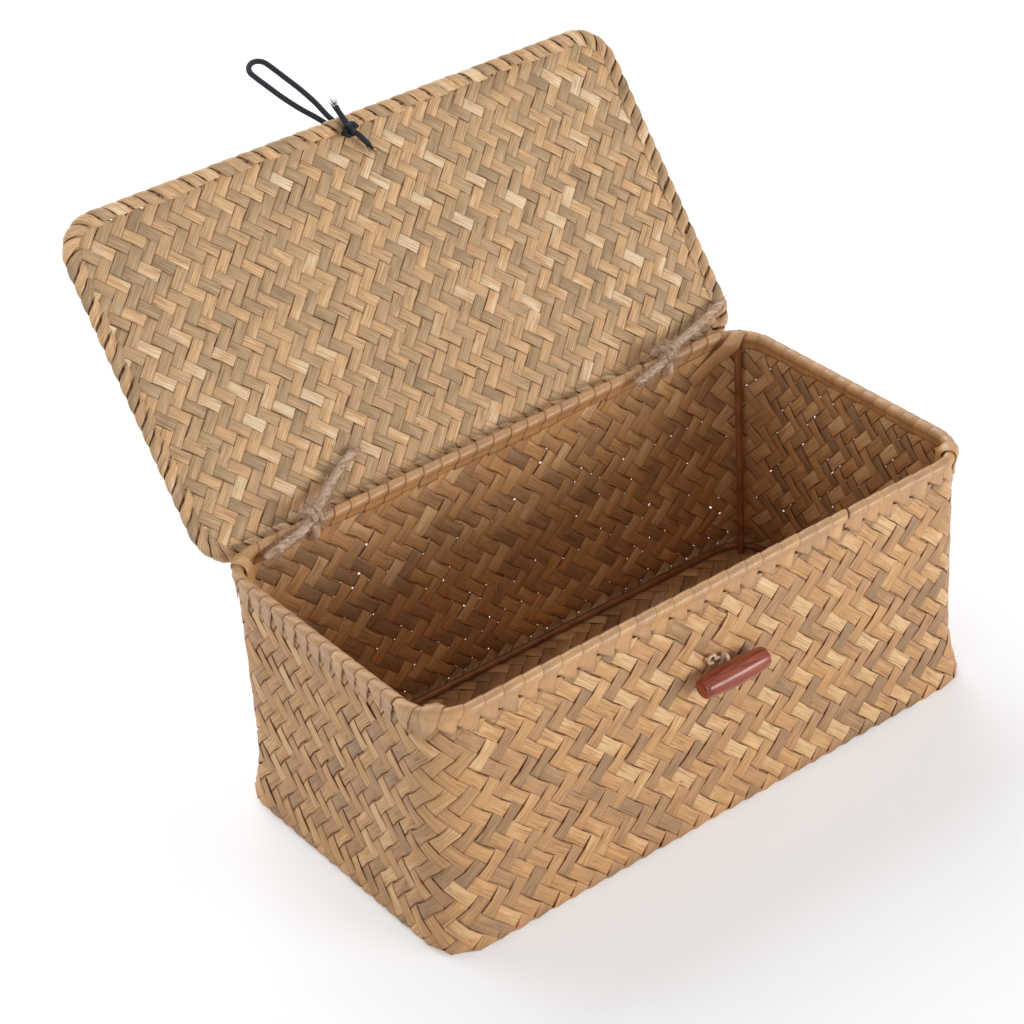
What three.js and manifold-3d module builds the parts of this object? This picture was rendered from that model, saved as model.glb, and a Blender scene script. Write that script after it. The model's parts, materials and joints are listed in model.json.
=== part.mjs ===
// A plaited seagrass box on a wire frame, with a lid tied on by twine and an elastic loop that
// closes over a wooden toggle. Millimetres, +Z up, origin at the centre of the base's underside,
// +X along the box, +Y towards the hinge. The lid stands open, as it leans when it is put down.
import * as THREE from 'three';
import { mergeVertices } from 'three/addons/utils/BufferGeometryUtils.js';
import Module from 'manifold-3d';

const wasm = await Module();
wasm.setup();

// Basket, measured over its rim
const BASKET_LENGTH = 300;
const BASKET_WIDTH = 158;
const BASKET_HEIGHT = 124;
const RIM_CORNER_RADIUS = 23;
// Near the base each end and each long side stands out a little, and the corners are tighter
const BASE_SPREAD_ENDS = 3.4;
const BASE_SPREAD_SIDES = 3.6;
const BASE_SPREAD_HEIGHT = 36;
const BASE_CORNER_RADIUS = 16;
const BASE_EDGE_RADIUS = 3;
// Plaited sheet, and the strips folded over the wire as a border
const WEAVE_THICKNESS = 1.8;
const FOLD_THICKNESS = 1.0;
const FOLD_DEPTH = 8;
// Painted wire of the frame and of the lid's ring
const WIRE_DIAMETER = 3.4;
// Lid, whose border stands out past the basket's rim at each end and at the front
const LID_OVERHANG_ENDS = 1;
const LID_OVERHANG_FRONT = 6;
const LID_CORNER_RADIUS = 20;
const LID_OPEN_ANGLE = 127;
// Twine ties that hinge the lid
const TWINE_DIAMETER = 4;
const TIE_END_DISTANCE = 50;
const TIE_KNOT_DIAMETER = 8.4;
const TIE_KNOT_ANGLE = 120;
// Elastic loop on the lid's front edge
const ELASTIC_DIAMETER = 2.6;
const ELASTIC_LOOP_LENGTH = 52;
const ELASTIC_LOOP_WIDTH = 13.4;
const ELASTIC_LOOP_LEAN = 26;
const ELASTIC_LOOP_DRIFT = 15.4;
const ELASTIC_KNOT_DIAMETER = 7;
const ELASTIC_HOLE_INSET = 5;
const ELASTIC_CENTRE = 0;
// Wooden toggle sewn to the front wall
const TOGGLE_LENGTH = 36;
const TOGGLE_DIAMETER = 11.6;
const TOGGLE_END_DIAMETER = 9.6;
const TOGGLE_END_ROUND = 2;
const TOGGLE_HEIGHT = 79;
const TOGGLE_HOLE_SETBACK = 3.5;
const TOGGLE_CORD_DIAMETER = 1.8;
const TOGGLE_KNOT_DIAMETER = 6.4;
// Gap left between pieces that touch
const CLEARANCE = 0.3;
// Facets
const CORNER_STEPS = 6;
const WIRE_SIDES = 8;
const ROUND_SIDES = 16;

const wireRadius = WIRE_DIAMETER / 2;
const twineRadius = TWINE_DIAMETER / 2;
const elasticRadius = ELASTIC_DIAMETER / 2;
const toggleRadius = TOGGLE_DIAMETER / 2;
const cordRadius = TOGGLE_CORD_DIAMETER / 2;
const wirePocket = wireRadius + CLEARANCE;
const rimRadius = wirePocket + FOLD_THICKNESS;
const legInside = WEAVE_THICKNESS / 2 + CLEARANCE;
const legOutside = legInside + FOLD_THICKNESS;
const openAngle = THREE.MathUtils.degToRad(LID_OPEN_ANGLE);

// The hinge line is the back run of the basket's top wire
const rimWireHeight = BASKET_HEIGHT - rimRadius;
const hingeY = BASKET_WIDTH / 2 - rimRadius;
const tieRadius = rimRadius + CLEARANCE + twineRadius;
// Open, the lid's back edge bears on the fold outside the back wall; shut, it clears the rim
const lidLift = Math.max(
  (rimRadius + legOutside + CLEARANCE) / Math.sin(openAngle),
  2 * rimRadius + CLEARANCE,
);

// Geometry helpers

// Points of a rounded rectangle, anticlockwise, each with its outward direction
function roundedRectangle(length, width, radius) {
  const points = [];
  for (let corner = 0; corner < 4; corner += 1) {
    const sideX = corner === 0 || corner === 3 ? 1 : -1;
    const sideY = corner < 2 ? 1 : -1;
    for (let step = 0; step <= CORNER_STEPS; step += 1) {
      const angle = (corner + step / CORNER_STEPS) * Math.PI / 2;
      const out = new THREE.Vector2(Math.cos(angle), Math.sin(angle));
      const x = sideX * (length / 2 - radius) + out.x * radius;
      const y = sideY * (width / 2 - radius) + out.y * radius;
      points.push({ x, y, out });
    }
  }
  return points;
}

function indexedGeometry(positions, index) {
  const geometry = new THREE.BufferGeometry();
  geometry.setAttribute('position', new THREE.Float32BufferAttribute(positions, 3));
  geometry.setIndex(index);
  geometry.computeVertexNormals();
  return geometry;
}

// Two triangles for each facet of a grid of rows and columns, closed along its rows
function gridIndex(rows, columns, closedColumns) {
  const index = [];
  const lastColumn = closedColumns ? columns : columns - 1;
  for (let row = 0; row < rows; row += 1) {
    const next = (row + 1) % rows;
    for (let column = 0; column < lastColumn; column += 1) {
      const after = (column + 1) % columns;
      const a = row * columns + column;
      const b = next * columns + column;
      const c = next * columns + after;
      const d = row * columns + after;
      index.push(a, b, c, a, c, d);
    }
  }
  return index;
}

// A closed section, drawn as outward and upward offsets, carried round a closed outline
function ringSweep(outline, section) {
  const positions = [];
  for (const point of outline) {
    for (const [outward, upward] of section) {
      positions.push(point.x + point.out.x * outward, point.y + point.out.y * outward, upward);
    }
  }
  return indexedGeometry(positions, gridIndex(outline.length, section.length, true));
}

function roundSection(radius, sides) {
  const section = [];
  for (let side = 0; side < sides; side += 1) {
    const angle = (side + 0.5) / sides * 2 * Math.PI;
    section.push([radius * Math.cos(angle), radius * Math.sin(angle)]);
  }
  return section;
}

// Strips folded over the wire: a round back, and two legs that lie on both faces of the sheet
function foldSection() {
  const outer = Math.acos(legOutside / rimRadius);
  const inner = Math.acos(legInside / wirePocket);
  const arcSteps = 6;
  const section = [[-FOLD_DEPTH, -legInside], [-FOLD_DEPTH, -legOutside]];
  for (let step = 0; step <= arcSteps; step += 1) {
    const angle = -Math.PI / 2 - outer + step / arcSteps * (Math.PI + 2 * outer);
    section.push([rimRadius * Math.cos(angle), rimRadius * Math.sin(angle)]);
  }
  section.push([-FOLD_DEPTH, legOutside], [-FOLD_DEPTH, legInside]);
  for (let step = 0; step <= arcSteps; step += 1) {
    const angle = Math.PI / 2 + inner - step / arcSteps * (Math.PI + 2 * inner);
    section.push([wirePocket * Math.cos(angle), wirePocket * Math.sin(angle)]);
  }
  return section;
}

// Rings of equal count joined from the first, which is capped, to the last, which is capped too
function loftedShell(rings) {
  const count = rings[0].length;
  const positions = [];
  for (let point = 0; point < count; point += 1) {
    for (const ring of rings) {
      positions.push(ring[point].x, ring[point].y, ring[point].z);
    }
  }
  const index = gridIndex(count, rings.length, false);
  const first = positions.length / 3;
  const last = first + 1;
  positions.push(0, 0, rings[0][0].z, 0, 0, rings.at(-1)[0].z);
  for (let point = 0; point < count; point += 1) {
    const next = (point + 1) % count;
    index.push(first, next * rings.length, point * rings.length);
    index.push(last, (point + 1) * rings.length - 1, (next + 1) * rings.length - 1);
  }
  return indexedGeometry(positions, index);
}

function disc(diameter, sides) {
  const points = roundSection(diameter / 2, sides).map(([x, y]) => new THREE.Vector2(x, y));
  return new THREE.Shape(points);
}

// A cord of the given diameter along a smooth curve through its points
function cordAlong(points, diameter, stepLength) {
  const path = new THREE.CatmullRomCurve3(points);
  const steps = Math.ceil(path.getLength() / stepLength);
  const settings = { steps, extrudePath: path, bevelEnabled: false };
  return new THREE.ExtrudeGeometry(disc(diameter, WIRE_SIDES), settings);
}

function solid(geometry) {
  const bare = geometry.clone();
  bare.deleteAttribute('normal');
  bare.deleteAttribute('uv');
  const merged = mergeVertices(bare, 1e-4);
  const vertProperties = new Float32Array(merged.attributes.position.array);
  const triVerts = new Uint32Array(merged.index.array);
  return new wasm.Manifold(new wasm.Mesh({ numProp: 3, vertProperties, triVerts }));
}

function geometryOf(body) {
  const mesh = body.getMesh();
  return indexedGeometry(Array.from(mesh.vertProperties), Array.from(mesh.triVerts));
}

function joined(geometries) {
  const bodies = geometries.map(solid);
  return geometryOf(bodies.reduce((all, body) => all.add(body)));
}

function cut(geometry, tools) {
  return geometryOf(tools.map(solid).reduce((rest, tool) => rest.subtract(tool), solid(geometry)));
}

function piece(name, geometry, material) {
  const mesh = new THREE.Mesh(geometry, material.clone());
  mesh.name = name;
  return mesh;
}

// Finishes

const seagrass = new THREE.MeshStandardMaterial({ color: 0xb8925f, roughness: 0.72, metalness: 0 });
const paintedWire = new THREE.MeshStandardMaterial({ color: 0x5e3a22, roughness: 0.5, metalness: 0.2 });
const jute = new THREE.MeshStandardMaterial({ color: 0xcbb07f, roughness: 0.9, metalness: 0 });
const elastic = new THREE.MeshStandardMaterial({ color: 0x23262c, roughness: 0.75, metalness: 0 });
const lacqueredWood = new THREE.MeshStandardMaterial({ color: 0x8a3d22, roughness: 0.35, metalness: 0 });
const sewingCord = new THREE.MeshStandardMaterial({ color: 0xbfa477, roughness: 0.9, metalness: 0 });

// Outlines shared by the sheet, its border and the wire inside the border

const topWire = {
  length: BASKET_LENGTH - 2 * rimRadius,
  width: BASKET_WIDTH - 2 * rimRadius,
  radius: RIM_CORNER_RADIUS - rimRadius,
};
const lidWire = {
  length: topWire.length + 2 * LID_OVERHANG_ENDS,
  width: topWire.width + LID_OVERHANG_FRONT,
  radius: LID_CORNER_RADIUS - rimRadius,
};
const sheetInset = wirePocket;

function wireRing(wire) {
  const outline = roundedRectangle(wire.length, wire.width, wire.radius);
  return ringSweep(outline, roundSection(wireRadius, WIRE_SIDES));
}

// The border opens towards the sheet: inwards on the lid, downwards on the basket
function border(wire, opensDown) {
  const section = foldSection();
  const turned = opensDown ? section.map(([depth, aside]) => [-aside, depth]) : section;
  return ringSweep(roundedRectangle(wire.length, wire.width, wire.radius), turned);
}

// The wall's outline at a height: straight below the rim, spread and squarer near the base
function wallOutline(height, inset) {
  const share = Math.max(0, 1 - height / BASE_SPREAD_HEIGHT) ** 2;
  const straightRadius = topWire.radius + WEAVE_THICKNESS / 2;
  return {
    length: topWire.length + WEAVE_THICKNESS + 2 * (share * BASE_SPREAD_ENDS - inset),
    width: topWire.width + WEAVE_THICKNESS + 2 * (share * BASE_SPREAD_SIDES - inset),
    radius: THREE.MathUtils.lerp(straightRadius, BASE_CORNER_RADIUS, share) - inset,
  };
}

function wallRing(height, inset, z = height) {
  const { length, width, radius } = wallOutline(height, inset);
  return roundedRectangle(length, width, radius).map(({ x, y }) => new THREE.Vector3(x, y, z));
}

// Lid-hinge ties

const lidWireAngle = Math.PI / 2 - openAngle;
const tieSides = [-1, 1];
const tiePlace = BASKET_LENGTH / 2 - TIE_END_DISTANCE;

// The twine goes once round the basket's rim and the lid's border, which lie side by side.
// The loop is drawn about the hinge line, with the lid's wire in the direction given.
function tieLoop(diameter, direction, across) {
  const outline = roundedRectangle(lidLift + 2 * tieRadius, 2 * tieRadius, tieRadius);
  const loop = ringSweep(outline, roundSection(diameter / 2, WIRE_SIDES));
  const along = new THREE.Vector3(0, Math.cos(direction), Math.sin(direction));
  const beside = new THREE.Vector3(0, -Math.sin(direction), Math.cos(direction));
  const place = new THREE.Matrix4().makeBasis(along, beside, new THREE.Vector3(1, 0, 0));
  place.setPosition(along.clone().multiplyScalar(lidLift / 2).setX(across));
  return loop.applyMatrix4(place);
}

// Two crossed turns drawn tight round a filled middle
function knot(diameter, cordDiameter, centre) {
  const turnRadius = (diameter - cordDiameter) / 2;
  const turns = [Math.PI / 3, -Math.PI / 3].map((tilt) => {
    const turn = new THREE.TorusGeometry(turnRadius, cordDiameter / 2, WIRE_SIDES, ROUND_SIDES);
    return turn.rotateY(Math.PI / 2).rotateZ(tilt).translate(centre.x, centre.y, centre.z);
  });
  const middle = new THREE.SphereGeometry(turnRadius, WIRE_SIDES, WIRE_SIDES);
  return [...turns, middle.translate(centre.x, centre.y, centre.z)];
}

// A point beside the open lid: along the box, up the lid from the hinge line, and off its sheet
function besideLid(along, up, off) {
  const out = lidLift - off;
  const y = -up * Math.cos(openAngle) + out * Math.sin(openAngle);
  const z = up * Math.sin(openAngle) + out * Math.cos(openAngle);
  return new THREE.Vector3(along, y, z);
}

const knotReach = rimRadius + CLEARANCE + TIE_KNOT_DIAMETER / 2;
const knotAngle = THREE.MathUtils.degToRad(TIE_KNOT_ANGLE);
const knotCentre = new THREE.Vector3(0, Math.cos(knotAngle), Math.sin(knotAngle)).multiplyScalar(knotReach);

// Both tails leave the knot along the crease: one rises over the lid, one lies inside the rim
const tieTails = {
  left: {
    onLid: [besideLid(9, 7.5, 9.4), besideLid(18, 12.5, 5.6), besideLid(28, 18, 4), besideLid(37, 21.5, 3.7)],
    inside: [[-8, -6.9, 3.6], [-18, -6.7, 0.6], [-28, -6.3, -2.4]],
  },
  right: {
    onLid: [besideLid(12, 5.5, 9.4), besideLid(24, 8, 6), besideLid(36, 11.2, 4.8), besideLid(46, 14.3, 4.4)],
    inside: [[-7, -6.9, 4.4], [-14, -7.1, 2.4], [-22, -6.7, 0.2]],
  },
};

function hingeTie({ onLid, inside }) {
  const insidePoints = inside.map(([along, y, z]) => new THREE.Vector3(along, y, z));
  return joined([
    tieLoop(TWINE_DIAMETER, lidWireAngle, 0),
    ...knot(TIE_KNOT_DIAMETER, TWINE_DIAMETER, knotCentre),
    cordAlong([knotCentre, ...onLid], TWINE_DIAMETER, TWINE_DIAMETER * 1.5),
    cordAlong([knotCentre, ...insidePoints], TWINE_DIAMETER, TWINE_DIAMETER * 1.5),
  ]);
}

// Frame of painted wire: two rings and four uprights on their inner side

// The bottom ring keeps inside the wall's straight part too, so that the uprights clear the wall
const bottomWireHeight = WEAVE_THICKNESS + wirePocket;
const spreadWall = wallOutline(bottomWireHeight, WEAVE_THICKNESS + wirePocket);
const straightWall = wallOutline(BASE_SPREAD_HEIGHT, WEAVE_THICKNESS + wirePocket);
const bottomWire = {
  length: Math.min(spreadWall.length, straightWall.length),
  width: Math.min(spreadWall.width, straightWall.width),
  radius: Math.max(spreadWall.radius, straightWall.radius),
};

// Where an upright stands against the inside of a ring's corner
function uprightFoot(wire, sideX, sideY, z) {
  const reach = (wire.radius - WIRE_DIAMETER - CLEARANCE) * Math.SQRT1_2;
  const x = sideX * (wire.length / 2 - wire.radius + reach);
  const y = sideY * (wire.width / 2 - wire.radius + reach);
  return new THREE.Vector3(x, y, z);
}

function upright(sideX, sideY, diameter) {
  const foot = uprightFoot(bottomWire, sideX, sideY, WEAVE_THICKNESS + CLEARANCE);
  const head = uprightFoot(topWire, sideX, sideY, rimWireHeight + wireRadius);
  const settings = { steps: 1, extrudePath: new THREE.LineCurve3(foot, head), bevelEnabled: false };
  return new THREE.ExtrudeGeometry(disc(diameter, WIRE_SIDES), settings);
}

const corners = [
  ['front_left', -1, -1],
  ['front_right', 1, -1],
  ['back_left', -1, 1],
  ['back_right', 1, 1],
];

// Basket sheet: base and walls plaited in one, holed for the ties and the toggle's cord

function basketSheet() {
  const top = rimWireHeight - sheetInset;
  const edgeSteps = 3;
  const rings = [];
  for (let step = 0; step <= edgeSteps; step += 1) {
    const angle = step / edgeSteps * Math.PI / 2;
    const inset = BASE_EDGE_RADIUS * (1 - Math.sin(angle));
    rings.push(wallRing(BASE_EDGE_RADIUS, inset, BASE_EDGE_RADIUS * (1 - Math.cos(angle))));
  }
  const spreadSteps = 4;
  const spreadHeights = [];
  for (let step = 1; step <= spreadSteps; step += 1) {
    const share = step / spreadSteps;
    spreadHeights.push(THREE.MathUtils.lerp(BASE_EDGE_RADIUS, BASE_SPREAD_HEIGHT, share));
  }
  const heights = [...spreadHeights, top];
  heights.forEach((height) => rings.push(wallRing(height, 0)));
  heights.reverse().forEach((height) => rings.push(wallRing(height, WEAVE_THICKNESS)));
  rings.push(wallRing(BASE_EDGE_RADIUS, WEAVE_THICKNESS));
  rings.push(wallRing(BASE_EDGE_RADIUS, WEAVE_THICKNESS, WEAVE_THICKNESS));
  return loftedShell(rings);
}

const hingeLine = new THREE.Vector3(0, hingeY, rimWireHeight);
const tieHoles = tieSides.map((side) => {
  const hole = tieLoop(TWINE_DIAMETER + 2 * CLEARANCE, lidWireAngle, side * tiePlace);
  return hole.translate(hingeLine.x, hingeLine.y, hingeLine.z);
});
const uprightNotches = corners.map(([, sideX, sideY]) => {
  return upright(sideX, sideY, WIRE_DIAMETER + 2 * CLEARANCE);
});

// Toggle, its sewing cord and the knot inside the wall, which turn together on the cord

const frontFace = wallOutline(TOGGLE_HEIGHT, 0).width / 2;
const cordNear = frontFace + CLEARANCE + cordRadius;
const toggleAxis = cordNear + cordRadius + CLEARANCE + toggleRadius;
const shankDiameter = 2 * TOGGLE_CORD_DIAMETER;

// The eye of cord runs down through the toggle, behind its axis, and back along the wall
function cordEye(diameter) {
  const depth = toggleAxis - TOGGLE_HOLE_SETBACK - cordNear;
  const height = TOGGLE_DIAMETER + 2 * (CLEARANCE + cordRadius);
  const outline = roundedRectangle(depth, height, depth / 2);
  const eye = ringSweep(outline, roundSection(diameter / 2, WIRE_SIDES));
  return eye.rotateX(Math.PI / 2).rotateZ(Math.PI / 2).translate(0, -cordNear - depth / 2, 0);
}

// A crowned barrel with rounded ends, turned about its length
function toggleBarrel() {
  const half = TOGGLE_LENGTH / 2;
  const endRadius = TOGGLE_END_DIAMETER / 2;
  const straight = half - TOGGLE_END_ROUND;
  const crownSteps = 4;
  const roundSteps = 3;
  const side = [];
  for (let step = 0; step <= crownSteps; step += 1) {
    const share = step / crownSteps;
    side.push(new THREE.Vector2(toggleRadius - (toggleRadius - endRadius) * share * share, share * straight));
  }
  for (let step = 1; step <= roundSteps; step += 1) {
    const angle = step / roundSteps * Math.PI / 2;
    const radius = endRadius - TOGGLE_END_ROUND * (1 - Math.cos(angle));
    side.push(new THREE.Vector2(radius, straight + TOGGLE_END_ROUND * Math.sin(angle)));
  }
  side.push(new THREE.Vector2(0, half));
  const otherSide = side.slice(1).reverse().map(({ x, y }) => new THREE.Vector2(x, -y));
  const barrel = new THREE.LatheGeometry([...otherSide, ...side], ROUND_SIDES).rotateZ(-Math.PI / 2);
  const eyeHole = cordEye(TOGGLE_CORD_DIAMETER + 2 * CLEARANCE).translate(0, toggleAxis, 0);
  return cut(barrel, [eyeHole]);
}

function rodAlongY(diameter, from, to) {
  const rod = new THREE.CylinderGeometry(diameter / 2, diameter / 2, to - from, ROUND_SIDES);
  return rod.translate(0, (from + to) / 2, 0);
}

const wallInside = -frontFace + WEAVE_THICKNESS;
const toggleKnotFront = wallInside + CLEARANCE;
const shankHoleDiameter = shankDiameter + 2 * CLEARANCE;
const shankHole = rodAlongY(shankHoleDiameter, -frontFace - CLEARANCE, wallInside + CLEARANCE);
shankHole.translate(0, 0, TOGGLE_HEIGHT);

// Elastic loop, its knot under the lid and the hole between them

// The lid is drawn shut about the hinge line: its wire lies lidLift above, its front is at -Y
const lidFront = -lidWire.width;
const elasticTurn = legOutside + CLEARANCE + elasticRadius;
const loopLean = THREE.MathUtils.degToRad(ELASTIC_LOOP_LEAN);
const loopRadius = elasticTurn / Math.cos(loopLean);
const elasticHole = lidFront + ELASTIC_HOLE_INSET;
const elasticPair = elasticRadius + CLEARANCE / 2;
const elasticKnotHeight = lidLift - legOutside - CLEARANCE - ELASTIC_KNOT_DIAMETER / 2;

// Shares of the straight reach and of half the width that a strand passes on its way to the round end
const strandOpening = [[0.2, 0.45], [0.4, 0.8], [0.6, 0.97], [0.8, 1]];

// Two strands that leave the border side by side, open to the loop's width and meet in a round end
function elasticLoop() {
  const half = (ELASTIC_LOOP_WIDTH - ELASTIC_DIAMETER) / 2;
  const straight = ELASTIC_LOOP_LENGTH - half - elasticRadius;
  const opening = strandOpening.map(([reach, aside]) => [reach * straight, aside * half]);
  const strand = [[0, elasticPair], ...opening];
  const turn = [];
  const turnSteps = 6;
  for (let step = 0; step <= turnSteps; step += 1) {
    const angle = step / turnSteps * Math.PI;
    turn.push([straight + half * Math.sin(angle), half * Math.cos(angle)]);
  }
  const back = strand.map(([reach, aside]) => [reach, -aside]).reverse();
  const points = [...strand, ...turn, ...back].map(([reach, aside]) => {
    const drift = ELASTIC_LOOP_DRIFT * reach / ELASTIC_LOOP_LENGTH;
    const y = loopRadius * Math.sin(loopLean) - reach * Math.cos(loopLean);
    const z = loopRadius * Math.cos(loopLean) + reach * Math.sin(loopLean);
    return new THREE.Vector3(ELASTIC_CENTRE + aside - drift, lidFront + y, lidLift + z);
  });
  return cordAlong(points, ELASTIC_DIAMETER, ELASTIC_DIAMETER * 1.5);
}

function elasticStrand(side, diameter, below, above) {
  const strand = new THREE.CylinderGeometry(diameter / 2, diameter / 2, above - below, WIRE_SIDES);
  return strand.rotateX(Math.PI / 2).translate(side * elasticPair, elasticHole, (above + below) / 2);
}

// Each cut end leaves the knot on the lid's inner face: one towards its edge, one away from it
const elasticEnds = [
  [[-0.8, -5, 0.4], [-1.3, -9, 0.9], [-1.6, -12, 1.4]],
  [[2.8, 3.8, 0.2], [4.6, 7, 0.6], [5.8, 9.4, 1]],
];

function elasticKnot() {
  const centre = new THREE.Vector3(0, elasticHole, elasticKnotHeight);
  const strandTop = lidLift + elasticTurn;
  const ends = elasticEnds.map((offsets) => {
    const points = offsets.map(([x, y, z]) => centre.clone().add(new THREE.Vector3(x, y, z)));
    return cordAlong([centre, ...points], ELASTIC_DIAMETER, ELASTIC_DIAMETER);
  });
  const strands = [-1, 1].map((side) => elasticStrand(side, ELASTIC_DIAMETER, elasticKnotHeight, strandTop));
  const parts = [...knot(ELASTIC_KNOT_DIAMETER, ELASTIC_DIAMETER, centre), ...strands, ...ends];
  return joined(parts).translate(ELASTIC_CENTRE, 0, 0);
}

const elasticHoles = [-1, 1].map((side) => {
  const diameter = ELASTIC_DIAMETER + 2 * CLEARANCE;
  const through = elasticStrand(side, diameter, lidLift - rimRadius, lidLift + rimRadius);
  return through.translate(ELASTIC_CENTRE, 0, 0);
});

// Lid sheet

function lidSheet() {
  const length = lidWire.length - 2 * sheetInset;
  const width = lidWire.width - 2 * sheetInset;
  const radius = lidWire.radius - sheetInset;
  const outline = roundedRectangle(length, width, radius).map(({ x, y }) => new THREE.Vector2(x, y));
  const settings = { depth: WEAVE_THICKNESS, bevelEnabled: false };
  const sheet = new THREE.ExtrudeGeometry(new THREE.Shape(outline), settings);
  return sheet.translate(0, 0, -WEAVE_THICKNESS / 2);
}

const lidTieHoles = tieSides.map((side) => {
  return tieLoop(TWINE_DIAMETER + 2 * CLEARANCE, Math.PI / 2, side * tiePlace);
});
const lidHoles = [...lidTieHoles, ...elasticHoles];

function onLid(geometry) {
  return geometry.translate(0, -lidWire.width / 2, lidLift);
}

// Assembly

const box = new THREE.Group();
box.name = 'woven_lidded_box';

const basket = new THREE.Group();
basket.add(piece('basket_weave', cut(basketSheet(), [...tieHoles, shankHole]), seagrass));
const basketRim = border(topWire, true).translate(0, 0, rimWireHeight);
basket.add(piece('basket_rim', cut(basketRim, [...tieHoles, ...uprightNotches]), seagrass));
const topRing = piece('top_ring', wireRing(topWire), paintedWire);
topRing.position.z = rimWireHeight;
const bottomRing = piece('bottom_ring', wireRing(bottomWire), paintedWire);
bottomRing.position.z = bottomWireHeight;
basket.add(topRing, bottomRing);
corners.forEach(([name, sideX, sideY]) => {
  basket.add(piece(`upright_${name}`, upright(sideX, sideY, WIRE_DIAMETER), paintedWire));
});
box.add(basket);

const lid = new THREE.Group();
lid.position.copy(hingeLine);
lid.rotation.x = -openAngle;
lid.add(piece('lid_weave', cut(onLid(lidSheet()), lidHoles), seagrass));
lid.add(piece('lid_rim', cut(onLid(border(lidWire, false)), lidHoles), seagrass));
lid.add(piece('lid_ring', onLid(wireRing(lidWire)), paintedWire));
lid.add(piece('elastic_loop', elasticLoop(), elastic));
lid.add(piece('elastic_knot', elasticKnot(), elastic));
box.add(lid);

tieSides.forEach((side) => {
  const name = side < 0 ? 'left' : 'right';
  const tie = piece(`${name}_hinge_tie`, hingeTie(tieTails[name]), jute);
  tie.position.copy(hingeLine).setX(side * tiePlace);
  box.add(tie);
});

const toggleGroup = new THREE.Group();
toggleGroup.position.z = TOGGLE_HEIGHT;
const toggle = piece('toggle', toggleBarrel(), lacqueredWood);
toggle.position.y = -toggleAxis;
const shank = rodAlongY(shankDiameter, -cordNear, toggleKnotFront);
toggleGroup.add(toggle);
toggleGroup.add(piece('toggle_cord', joined([cordEye(TOGGLE_CORD_DIAMETER), shank]), sewingCord));
const innerKnotDepth = (TOGGLE_KNOT_DIAMETER - TOGGLE_CORD_DIAMETER) / 2;
const innerKnot = new THREE.Vector3(0, toggleKnotFront + CLEARANCE + innerKnotDepth, 0);
const innerKnotParts = knot(TOGGLE_KNOT_DIAMETER, TOGGLE_CORD_DIAMETER, innerKnot);
toggleGroup.add(piece('toggle_knot', joined(innerKnotParts), sewingCord));
box.add(toggleGroup);

export default box;
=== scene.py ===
# A plaited seagrass box on a wire frame, with a lid tied on by twine and an elastic loop that
# closes over a wooden toggle. Metres, +Z up, origin under the middle of the base, +Y to the hinge.
import json
import math

import bpy
import numpy as np
from mathutils import Matrix, Vector


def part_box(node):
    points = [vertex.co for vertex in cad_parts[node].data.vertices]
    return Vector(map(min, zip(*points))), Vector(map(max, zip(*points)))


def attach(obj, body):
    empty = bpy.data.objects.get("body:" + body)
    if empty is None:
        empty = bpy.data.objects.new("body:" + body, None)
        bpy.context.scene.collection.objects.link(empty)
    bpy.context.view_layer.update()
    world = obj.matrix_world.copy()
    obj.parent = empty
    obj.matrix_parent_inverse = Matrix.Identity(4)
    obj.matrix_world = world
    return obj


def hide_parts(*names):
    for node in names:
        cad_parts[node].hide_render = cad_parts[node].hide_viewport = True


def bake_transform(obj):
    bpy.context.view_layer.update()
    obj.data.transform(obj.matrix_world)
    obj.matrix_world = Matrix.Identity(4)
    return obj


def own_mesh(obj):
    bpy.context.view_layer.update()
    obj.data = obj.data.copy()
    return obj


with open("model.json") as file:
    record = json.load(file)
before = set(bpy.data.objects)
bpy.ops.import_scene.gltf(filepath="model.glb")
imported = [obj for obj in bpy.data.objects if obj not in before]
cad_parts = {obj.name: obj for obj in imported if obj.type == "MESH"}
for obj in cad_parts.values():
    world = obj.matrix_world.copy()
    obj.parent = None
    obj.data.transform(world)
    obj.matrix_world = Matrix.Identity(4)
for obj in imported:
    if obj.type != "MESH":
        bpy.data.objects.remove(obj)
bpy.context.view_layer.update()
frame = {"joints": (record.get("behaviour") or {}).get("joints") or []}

# Wire frame of the basket: two rings and four uprights of steel wire, bent on a former, welded at
# the corners and dipped in brown paint. The rim hides the top ring; the rest stands inside.
MM = 0.001
WIRE_RADIUS = 1.7 * MM
WIRE_STEP = 2.2 * MM
PACKED_WIRE_SIDES = 8
RIM_RADIUS = 3.0 * MM
RIM_BEND = 20 * MM
BOTTOM_BEND = 17.1 * MM
CORNERS = {"front_left": (-1, -1), "front_right": (1, -1), "back_left": (-1, 1), "back_right": (1, 1)}
rim_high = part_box("basket_rim")[1]
rim_half_length = rim_high.x - RIM_RADIUS
rim_half_width = rim_high.y - RIM_RADIUS
rim_wire_height = rim_high.z - RIM_RADIUS
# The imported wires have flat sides, so their boxes fall a little short of the round wire
facet_radius = WIRE_RADIUS * math.cos(math.pi / PACKED_WIRE_SIDES)


def linear(hex_colour):
    """A hex sRGB colour as the linear colour that a shader takes."""
    parts = [int(hex_colour[k:k + 2], 16) / 255 for k in (1, 3, 5)]
    return [p / 12.92 if p <= 0.04045 else ((p + 0.055) / 1.055) ** 2.4 for p in parts] + [1.0]


def add(tree, kind, inputs=None, **settings):
    """Adds a node with its settings; each input gets a value or another node's output."""
    made = tree.nodes.new(kind)
    for name, value in settings.items():
        setattr(made, name, value)
    for socket, value in (inputs or {}).items():
        if isinstance(value, bpy.types.NodeSocket):
            tree.links.new(value, made.inputs[socket])
        else:
            made.inputs[socket].default_value = value
    return made


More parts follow.
